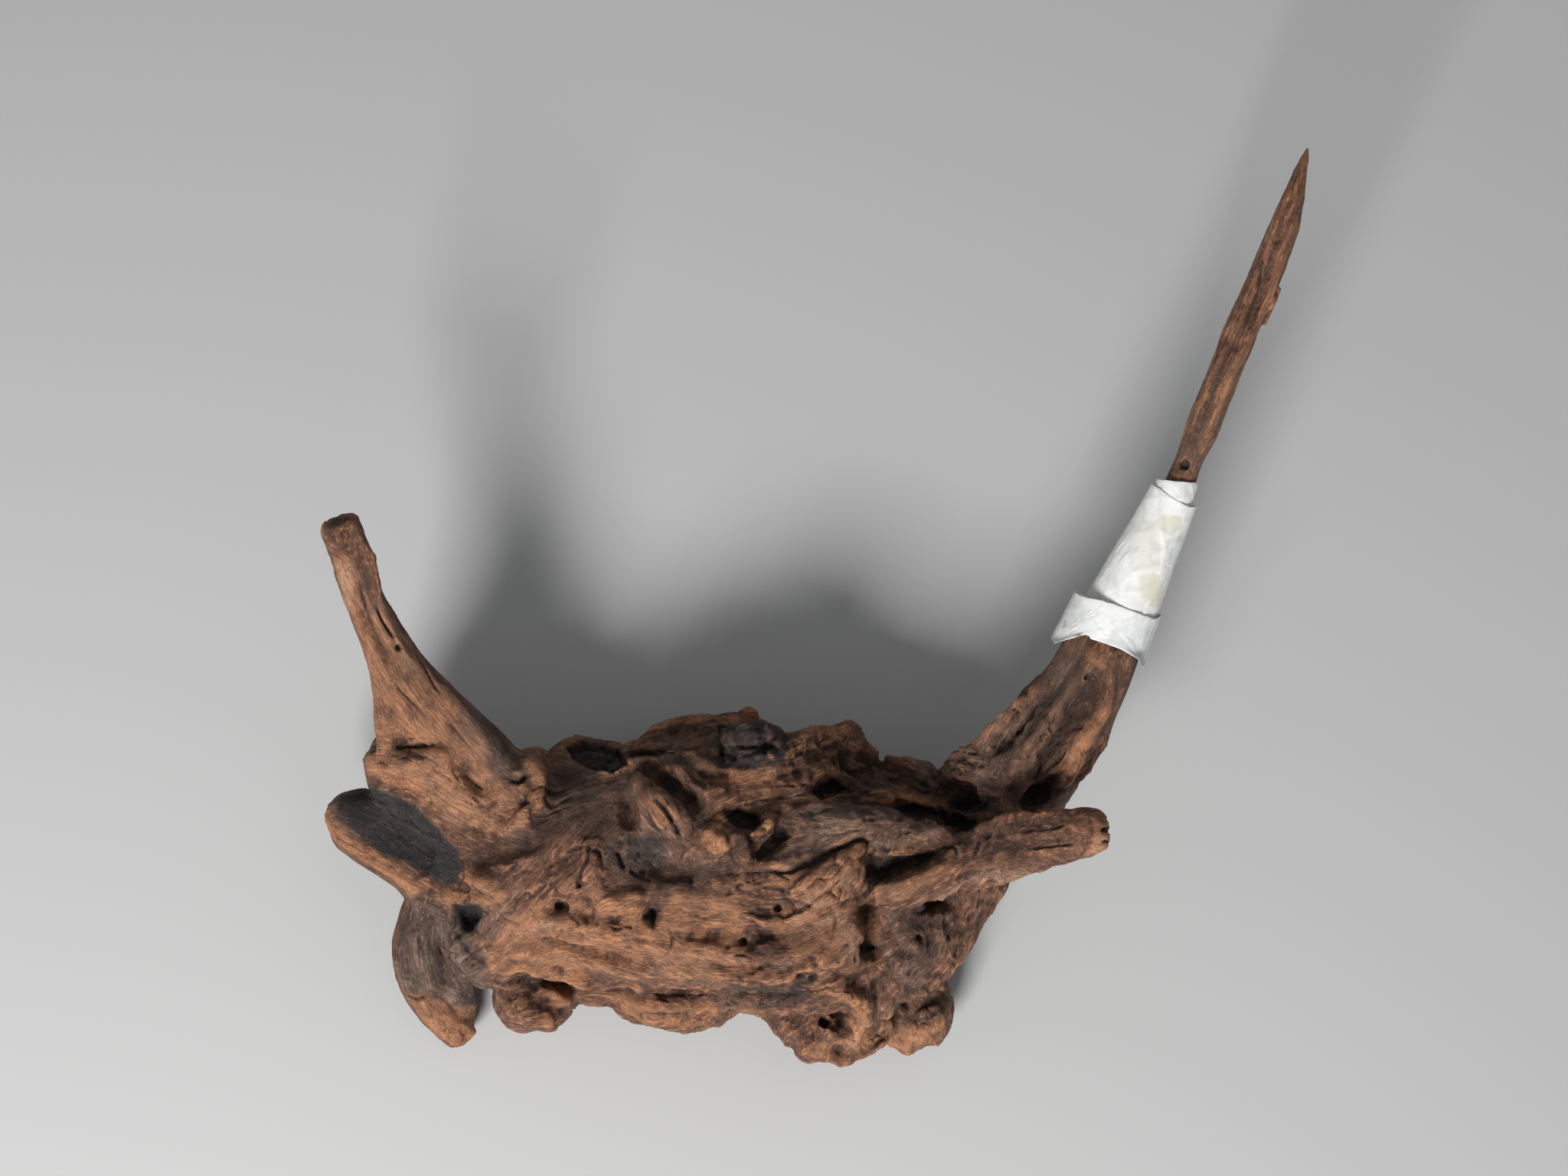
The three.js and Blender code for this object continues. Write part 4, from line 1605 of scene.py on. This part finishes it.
@dataclass
class DriftwoodRoot:
    """The wood itself: one grown piece.

    Attributes:
        coarse: The voxel size at which the large forms are sculpted, in millimetres.
        fine: The voxel size at which the details are sculpted, in millimetres.
        triangles: How many triangles the finished surface keeps.
        melting: How many rounds melt the creases between the roots.
        boldness: A factor on the depth of the large forms.
        fade: How softly the bare wood gives way to the wood under the tape, in millimetres.
        reach: How far from the taped root's middle the tape has a say, in millimetres.
        tuck: How far the wood is drawn in under the tape, in millimetres.
        finish: The wood's material.
    """

    coarse: float = 2.5
    fine: float = 1.55
    triangles: int = 190_000
    melting: int = 24
    boldness: float = 1.4
    fade: float = 12.0
    reach: float = 80.0
    tuck: float = 1.8
    finish: DryWood = field(default_factory=DryWood)

    def build(self) -> bpy.types.Object:
        """Model the wood.

        Returns:
            The finished piece.
        """
        piece = copy_of_node("driftwood", "driftwood_root")
        finish_modifier(piece, "REMESH", mode="VOXEL", voxel_size=self.coarse * MM)
        self._melt_creases(piece)
        surface = Surface(piece)
        self._swell(surface)
        carve(surface, FORMS, self.boldness)
        finish_modifier(piece, "REMESH", mode="VOXEL", voxel_size=self.fine * MM)
        finish_modifier(piece, "SMOOTH", factor=0.5, iterations=2)
        surface = Surface(piece)
        grain, splits = self._weather(surface)
        shade = carve(surface, DETAILS)
        self._set_down(surface)
        self._paint(surface, splits, shade)
        self._lay_grain(surface, grain)
        triangles = sum(len(polygon.vertices) - 2 for polygon in piece.data.polygons)
        finish_modifier(piece, "DECIMATE", ratio=min(1.0, self.triangles / triangles))
        piece.data.materials.append(self.finish.material())
        piece.data.shade_smooth()
        return piece

    def _melt_creases(self, piece: bpy.types.Object) -> None:
        """Fill the creases where roots meet, so that they grow into one another.

        Args:
            piece: The coarse wood.
        """
        surface = Surface(piece)
        for _ in range(self.melting):
            pull = surface.average(surface.places, 1) - surface.places
            outward = np.einsum("ij,ij->i", pull, surface.normals)
            surface.places += np.where(outward > 0.0, 1.0, 0.15)[:, None] * pull
            surface.store()

    def _bare(self, surface: Surface) -> Array:
        """Tell bare wood from wood under the tape.

        Args:
            surface: The wood's surface.

        Returns:
            For each vertex, 1 on bare wood and 0 under the tape.
        """
        low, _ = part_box("lower_tape")
        _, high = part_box("inner_tape")
        low, high = np.array(low), np.array(high)
        axis = (high - low) / np.linalg.norm(high - low)
        along = (surface.places - low) @ axis
        length = float((high - low) @ axis)
        fade = self.fade * MM
        past_start = smooth_step(-fade, fade, along)
        past_end = smooth_step(length - fade, length + fade, along)
        aside = np.linalg.norm(surface.places - low - along[:, None] * axis, axis=1)
        return 1.0 - past_start * (1 - past_end) * (aside < self.reach * MM)

    def _swell(self, surface: Surface) -> None:
        """Raise and sink the crown in slow, gnarled waves along the fibres.

        Args:
            surface: The coarse wood's surface.
        """
        grain = Grain(surface, FIBRES)
        amount = grain.gnarl**1.5 * self._bare(surface)
        waves = grain.streaks(70.0, 17.0, 3, 2, ridged=True) * 2.8
        lumps = layered_noise(surface.places / (26 * MM), 5, 2) * 3.0
        surface.places += (amount * (waves + lumps) * MM)[:, None] * surface.normals
        surface.store()

    def _weather(self, surface: Surface) -> tuple[Grain, Array]:
        """Cut the fibres' ridges, furrows, splits and pits into the surface.

        Args:
            surface: The fine wood's surface.

        Returns:
            The grain, and how deep in a split each vertex lies, from 0 to 1.
        """
        grain = Grain(surface, FIBRES)
        bare = self._bare(surface)
        rough = 0.4 + 0.9 * grain.gnarl
        rolls = grain.streaks(46.0, 9.0, 11, 2, ridged=True) * -0.9 * rough
        splits = smooth_step(0.72, 0.99, grain.streaks(30.0, 6.0, 71, 1, ridged=True))
        splits *= smooth_step(0.1, 0.6, grain.streaks(60.0, 26.0, 83, 1))
        strands = grain.streaks(16.0, 2.4, 23, 2) * (0.3 + 0.2 * grain.gnarl)
        pits = smooth_step(0.35, 0.7, layered_noise(surface.places / (8 * MM), 31, 2)) * grain.gnarl
        warp = np.stack([noise(surface.places / (17 * MM), seed) for seed in (101, 102, 103)], axis=1)
        warped = surface.places / (13 * MM) + 0.55 * warp
        bumps = layered_noise(warped, 91, 3, ridged=True) * 2.0 * grain.gnarl**2
        shift = bare * (rolls + strands + bumps - 1.7 * rough * splits - 1.3 * pits) * MM
        surface.places += shift[:, None] * surface.normals
        surface.store()
        return grain, splits

    def _set_down(self, surface: Surface) -> None:
        """Trim the feet level with the ground and draw the wood in under the tape.

        Args:
            surface: The fine wood's surface.
        """
        surface.places -= ((1.0 - self._bare(surface)) * self.tuck * MM)[:, None] * surface.normals
        surface.places[:, 2] = np.maximum(surface.places[:, 2], 0.0)
        surface.store()

    def _paint(self, surface: Surface, splits: Array, shade: Array) -> None:
        """Store the colour masks, from the shape and from the stains; the masks from the shape are painted
        shade in hollows, pits and splits, and orange on crests that is partly wear and partly painted
        highlight.

        Args:
            surface: The fine wood's surface.
            splits: How deep in a split of the grain each vertex lies, from 0 to 1.
            shade: How deep in a sculpted pit or split each vertex lies, from 0 to 1.
        """
        tight = surface.relief(8)
        broad = surface.relief(60)
        # Orange on crests: wear, and painted highlight on the crests.
        crest = 0.7 * smooth_step(0.05 * MM, 0.5 * MM, tight)
        crest += 0.5 * smooth_step(0.3 * MM, 2.4 * MM, broad)
        # Painted shade: hollows, sculpted pits and splits, and the grain's splits are darkened.
        hollow_shade = 0.7 * smooth_step(0.25 * MM, 0.9 * MM, -tight)
        hollow_shade += 0.8 * smooth_step(0.8 * MM, 3.2 * MM, -broad)
        hollow_shade = np.maximum(hollow_shade, smooth_step(0.15, 0.6, shade))
        hollow_shade = np.maximum(hollow_shade, 0.45 * splits)
        write_colour(surface.piece, "relief", [crest, hollow_shade])
        masks = masks_from(surface, STAINS, 6 * MM)
        write_colour(surface.piece, "patches", [masks[Tint.CHAR], masks[Tint.ORANGE], masks[Tint.DARK]])
        write_colour(surface.piece, "bleach", [masks[Tint.PALE], masks[Tint.GREY]])

    def _lay_grain(self, surface: Surface, grain: Grain) -> None:
        """Store the coordinates that the material's fibres follow.

        Args:
            surface: The fine wood's surface.
            grain: The run of its fibres.
        """
        rows, shares = grain.layers(GRAIN_LAYERS)
        for number, coordinates in enumerate(rows):
            layer = surface.piece.data.attributes.new(f"grain_{number}", "FLOAT_VECTOR", "POINT")
            layer.data.foreach_set("vector", coordinates.astype(np.float32).ravel())
        write_colour(surface.piece, "grain_share", shares)


@dataclass(frozen=True)
class TapeMarks:
    """What sets one turn of tape apart from a plain sleeve.

    Attributes:
        lower: Its lower edge from left to right on the piece's own ruler, in millimetres; empty to keep it.
        upper: Its upper edge, in the same way.
        folds: Folds and creases.
        stains: Patches of colour.
    """

    lower: tuple[Spot, ...]
    upper: tuple[Spot, ...]
    folds: list[Stroke]
    stains: list[Stain]


CUFF_MARKS = TapeMarks(
    lower=(),
    upper=((565.7, 381.6), (571.7, 382.1), (582.6, 381.6), (589.7, 379.9), (592.1, 376.4)),
    folds=[
        ridge(1.6, 0.75, (565.4, 379.5), (571.6, 381.0), (580.5, 379.2)),
        ridge(1.8, 0.9, (582.5, 378.2), (584.8, 372.6), (587.7, 365.9)),
        gouge(2.4, 0.25, (579.1, 376.4), (580.2, 369.6)),
    ],
    stains=[
        thin(
            1.5, 1.0,
            (569.1, 379.7), (574.1, 378.9), (581.5, 378.2), (582.1, 373.4), (585.2, 365.3), (580.7, 367.7),
            (572.2, 375.1),
        ),
    ],
)

STRIP_MARKS = TapeMarks(
    lower=(),
    upper=((562.6, 379.2), (568.9, 377.4), (579.6, 370.2), (586.2, 365.5), (592.1, 363.1)),
    folds=[
        ridge(
            2.2, 0.68,
            (566.5, 375.1), (565.4, 363.0), (564.1, 350.4), (566.5, 340.4), (568.1, 333.7), (567.1, 321.5),
            (566.0, 312.1),
        ),
        gouge(3.5, 0.25, (569.1, 365.1), (568.9, 345.3), (570.1, 334.8)),
        ridge(1.4, 0.75, (544.5, 341.1), (541.5, 338.2), (538.6, 333.4), (535.2, 325.0)),
        gouge(2.4, 0.25, (546.1, 336.4), (542.4, 331.8), (539.0, 326.1)),
        ridge(1.4, 0.75, (549.0, 335.3), (547.1, 330.9), (542.5, 328.5), (539.1, 321.6)),
        gouge(2.0, 0.25, (552.5, 330.2), (547.8, 326.7), (543.1, 320.0)),
        ridge(1.3, 0.68, (557.3, 323.6), (550.5, 320.4), (544.8, 315.8), (540.0, 310.1)),
        ridge(1.3, 0.68, (533.8, 325.7), (530.5, 318.5), (527.2, 313.8)),
        gouge(2.0, 0.25, (534.2, 318.4), (531.7, 313.5), (529.3, 309.7)),
        ridge(1.4, 0.68, (561.3, 320.2), (556.4, 315.4), (552.5, 310.6), (549.6, 305.8)),
        ridge(1.6, 0.6, (573.7, 339.7), (571.3, 333.0), (570.7, 324.1), (568.4, 312.5)),
        gouge(2.4, 0.25, (577.2, 345.6), (573.1, 339.7)),
    ],
    stains=[
        beige(3, 0.75, (566.5, 353.2), (579.6, 352.4), (578.8, 345.8), (572.0, 340.5), (567.4, 343.3)),
        beige(
            3, 0.8,
            (553.4, 315.4), (561.4, 317.3), (566.3, 315.8), (568.4, 303.6), (565.2, 297.5), (554.8, 301.0),
            (550.6, 305.8),
        ),
        beige(4, 0.35, (548.6, 342.4), (563.2, 350.5), (565.5, 321.4), (552.5, 311.5), (546.0, 326.9)),
        thin(
            3, 0.75,
            (569.0, 337.5), (581.2, 341.9), (577.2, 321.1), (569.6, 302.9), (566.4, 295.8), (567.9, 316.9),
        ),
        # Painted grey shade along the folds.
        crease(0.8, 0.5, (566.5, 375.1), (565.4, 363.0), (564.1, 350.4)),
        crease(0.9, 0.6, (545.2, 340.1), (542.1, 336.7), (538.8, 332.0), (535.1, 323.8)),
        crease(0.9, 0.5, (550.8, 333.5), (547.0, 329.8), (542.5, 327.4), (539.0, 320.5)),
        crease(0.8, 0.5, (557.3, 322.6), (550.5, 319.4), (544.8, 314.8)),
        crease(1.0, 0.5, (534.3, 319.5), (531.3, 313.6)),
        crease(0.8, 0.5, (571.0, 338.6), (569.8, 331.0), (569.3, 320.7)),
    ],
)

BAND_MARKS = TapeMarks(
    lower=(
        (496.5, 277.7), (498.8, 274.6), (512.9, 277.8), (519.1, 278.9), (520.6, 275.8),
        (530.3, 272.5), (540.0, 268.7), (551.2, 262.7), (557.2, 255.4),
    ),
    upper=((514.6, 313.4), (529.5, 308.4), (538.9, 306.1), (552.8, 300.5), (565.7, 295.9), (571.5, 297.6)),
    folds=[
        plate(
            0.9, 0.5,
            (513.3, 307.9), (526.6, 306.9), (545.1, 312.6), (558.9, 306.8), (567.6, 298.7), (552.5, 290.4),
            (538.4, 284.4), (531.6, 276.7), (526.2, 281.2), (519.0, 296.0),
        ),
        ridge(1.1, 0.75, (515.5, 309.6), (519.7, 294.2), (526.2, 281.7), (531.1, 276.7)),
        ridge(1.1, 0.75, (531.6, 277.2), (538.4, 284.9), (546.3, 287.8), (552.4, 290.8), (566.7, 298.9)),
        ridge(1.2, 0.68, (543.1, 277.7), (548.6, 270.8), (552.6, 262.3)),
        ridge(1.2, 0.6, (508.8, 298.4), (511.4, 288.2), (510.0, 277.8)),
        gouge(2.5, 0.25, (538.0, 278.6), (544.3, 272.9), (546.7, 265.5)),
        ridge(1.5, 0.6, (558.7, 287.1), (555.2, 273.7), (553.3, 261.4)),
    ],
    stains=[
        thin(
            2, 0.9,
            (531.6, 275.8), (538.4, 283.4), (552.5, 289.4), (568.7, 296.8), (563.8, 280.1), (554.1, 259.6),
            (546.8, 263.6), (535.8, 269.0), (523.3, 274.0),
        ),
        thin(
            2, 0.6,
            (513.9, 308.2), (518.9, 294.4), (526.2, 280.7), (522.3, 275.9), (512.8, 277.1), (498.1, 273.0),
            (504.5, 287.5), (509.6, 300.2),
        ),
        # Painted grey shade along the folds.
        crease(0.8, 0.7, (515.5, 309.6), (519.7, 294.2), (526.2, 281.7), (531.1, 276.7)),
        crease(0.7, 0.45, (531.6, 276.7), (538.4, 284.9), (546.3, 287.8), (552.4, 290.8), (566.7, 298.9)),
        fleck(1.3, 0.9, (512.4, 279.1), (514.7, 278.4)),
        fleck(0.9, 0.9, (517.2, 282.3)),
        fleck(0.8, 0.8, (509.1, 285.4)),
        fleck(0.7, 0.7, (507.7, 291.1)),
        fleck(0.8, 0.6, (505.9, 289.4), (505.1, 285.0)),
        fleck(0.6, 0.7, (511.8, 308.4)),
        fleck(0.7, 0.6, (511.8, 294.5)),
    ],
)


EDGE_STEPS = 14  # how many steps a traced edge is cut into


@dataclass
class TapeTurn:
    """One turn of paper tape.

    Attributes:
        node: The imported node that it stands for.
        name: The piece's name.
        marks: Its edges, folds and stains.
        finish: The paper's material.
        crumpling: How far the paper crumples, in millimetres.
    """

    node: str
    name: str
    marks: TapeMarks
    finish: bpy.types.Material
    crumpling: float = 0.2

    def build(self) -> bpy.types.Object:
        """Trim, fold and crease the sleeve.

        Returns:
            The finished piece.
        """
        piece = copy_of_node(self.node, self.name)
        choose(piece)
        bpy.ops.object.mode_set(mode="EDIT")
        bpy.ops.mesh.select_all(action="SELECT")
        bpy.ops.mesh.subdivide(number_cuts=4)
        bpy.ops.object.mode_set(mode="OBJECT")
        finish_modifier(piece, "SMOOTH", factor=0.5, iterations=9)
        surface = Surface(piece)
        self._trim(surface)
        crumple = layered_noise(surface.places / (11 * MM), 7, 2, ridged=True)
        carve(surface, self.marks.folds)
        outer = surface.relief(60) > 0.0
        surface.places += (self.crumpling * MM * crumple * outer)[:, None] * surface.normals
        surface.store()
        masks = masks_from(surface, self.marks.stains, 3 * MM)
        # Painted grey shade along the creases and on the crumples' crests.
        crease_shade = np.maximum(masks[Tint.CREASE], 0.5 * smooth_step(0.5, 0.9, crumple))
        write_colour(piece, "paper", [crease_shade, masks[Tint.BEIGE], masks[Tint.THIN]])
        write_colour(piece, "flecks", [masks[Tint.FLECK]])
        piece.data.materials.append(self.finish)
        piece.data.shade_smooth()
        return piece

    def _trim(self, surface: Surface) -> None:
        """Slide the sleeve's vertices, seen from above, until its two edges follow their lines.

        Args:
            surface: The sleeve's surface.
        """
        low, high = (np.array(corner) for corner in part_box("lower_tape"))
        far_low, far_high = (np.array(corner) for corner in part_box("inner_tape"))
        rise = 0.5 * (far_low + far_high - low - high)
        ahead = rise[:2] / np.linalg.norm(rise[:2])
        aside = np.array([ahead[1], -ahead[0]])
        run = surface.places[:, :2] @ ahead
        side = surface.places[:, :2] @ aside
        left = outer_edge(run, side, -1.0)
        right = outer_edge(run, side, 1.0)
        across = (side - left) / (right - left)
        bottom = outer_edge(across, run, -1.0)
        top = outer_edge(across, run, 1.0)
        share = (run - bottom) / (top - bottom)
        new_run = np.zeros(len(run))
        new_side = np.zeros(len(run))
        ends = ((self.marks.lower, bottom, 1.0 - share), (self.marks.upper, top, share))
        for corners, old_run, weight in ends:
            if corners:
                edge = on_ruler([(x, y, 0.0) for x, y in corners])[:, :2]
                along = edge @ ahead
                beside = edge @ aside
                fraction = (beside - beside[0]) / (beside[-1] - beside[0])
                new_run += weight * np.interp(across, fraction, along)
                new_side += weight * np.interp(across, fraction, beside)
            else:
                middle = abs(run - old_run.mean()) < 6 * MM
                new_run += weight * old_run
                new_side += weight * (side[middle].min() + across * np.ptp(side[middle]))
        surface.places[:, 2] += (new_run - run) * rise[2] / np.linalg.norm(rise[:2])
        surface.places[:, :2] = new_run[:, None] * ahead + new_side[:, None] * aside
        surface.store()


def outer_edge(position: Array, value: Array, sign: float) -> Array:
    """Trace the outermost value along a band of points.

    Args:
        position: Where each point lies along the band.
        value: The value that is traced.
        sign: 1 to trace the largest values, -1 for the smallest.

    Returns:
        The traced edge's value at each point's position.
    """
    share = (position - position.min()) / np.ptp(position)
    bins = np.clip((share * EDGE_STEPS).astype(int), 0, EDGE_STEPS - 1)
    places = [position[bins == number].mean() for number in range(EDGE_STEPS)]
    outermost = [sign * (sign * value[bins == number]).max() for number in range(EDGE_STEPS)]
    return np.interp(position, places, outermost)


# ---------------------------------------------------------------- studio


@dataclass(frozen=True)
class Studio:
    """A plain pale floor, soft light and the camera.

    Attributes:
        aim: The point on the ground that the camera looks at, on the piece's own ruler, in millimetres.
        distance: How far away the camera is, in metres.
        lean: How far the view leans off the vertical towards the near side, in degrees.
        pale: The floor's colour.
        daylight: The colour of the light from all round.
    """

    aim: tuple[float, float, float] = (320.0, 339.0, 0.0)
    distance: float = 1.6
    lean: float = 10.0
    pale: tuple[float, float, float, float] = (0.46, 0.46, 0.455, 1.0)
    daylight: tuple[float, float, float, float] = (0.95, 0.98, 1.0, 1.0)

    def floor(self) -> None:
        """Lay the floor."""
        bpy.ops.mesh.primitive_plane_add(size=8.0, location=(0.0, 0.0, 0.0))
        floor = bpy.context.active_object
        floor.name = "floor"
        shader = Shader("pale_floor")
        shader.surface.inputs["Base Color"].default_value = self.pale
        shader.surface.inputs["Roughness"].default_value = 0.9
        floor.data.materials.append(shader.material)

    def camera(self) -> None:
        """Place the camera."""
        target = Vector(on_ruler([self.aim])[0])
        lean = math.radians(self.lean)
        data = bpy.data.cameras.new("camera")
        data.lens = 50.0
        data.sensor_width = 36.0
        data.clip_end = 20.0
        camera = bpy.data.objects.new("camera", data)
        camera.location = target + self.distance * Vector((0.0, -math.sin(lean), math.cos(lean)))
        camera.rotation_euler = (lean, 0.0, 0.0)
        bpy.context.scene.collection.objects.link(camera)
        bpy.context.scene.camera = camera

    def lamp(self, name: str, place: tuple[float, float, float], size: float, power: float) -> None:
        """Hang a large square lamp that shines at the piece.

        Args:
            name: The lamp's name.
            place: Where it hangs, in metres.
            size: Its side, in metres.
            power: Its power, in watts.
        """
        data = bpy.data.lights.new(name, "AREA")
        data.size = size
        data.energy = power
        lamp = bpy.data.objects.new(name, data)
        lamp.location = place
        lamp.rotation_euler = (Vector(place) * -1.0).to_track_quat("-Z", "Y").to_euler()
        bpy.context.scene.collection.objects.link(lamp)

    def light(self) -> None:
        """Light the piece softly, mostly from the near side."""
        self.lamp("key", (-0.9, -2.2, 1.9), 1.0, 124.0)
        self.lamp("fill", (1.6, 1.2, 2.6), 3.0, 10.0)
        world = bpy.data.worlds.new("studio")
        world.use_nodes = True
        background = world.node_tree.nodes["Background"]
        background.inputs["Color"].default_value = self.daylight
        background.inputs["Strength"].default_value = 0.24
        bpy.context.scene.world = world
        bpy.context.scene.view_settings.view_transform = "Standard"


def main() -> None:
    """Build the pieces in order and light them."""
    logging.basicConfig(level=logging.INFO, format="%(message)s")
    studio = Studio()
    studio.camera()
    wood = DriftwoodRoot().build()
    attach(wood, "root")
    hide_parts("driftwood")
    log.info("%s: %d faces", wood.name, len(wood.data.polygons))
    paper = CreasedPaper().material()
    turns = (
        ("inner_tape", "tape_cuff", CUFF_MARKS),
        ("long_tape", "tape_strip", STRIP_MARKS),
        ("lower_tape", "tape_band", BAND_MARKS),
    )
    for node, name, marks in turns:
        turn = TapeTurn(node, name, marks, paper).build()
        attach(turn, "root")
        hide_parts(node)
        log.info("%s: %d faces", turn.name, len(turn.data.polygons))
    studio.floor()
    studio.light()


if __name__ == "__main__":
    main()
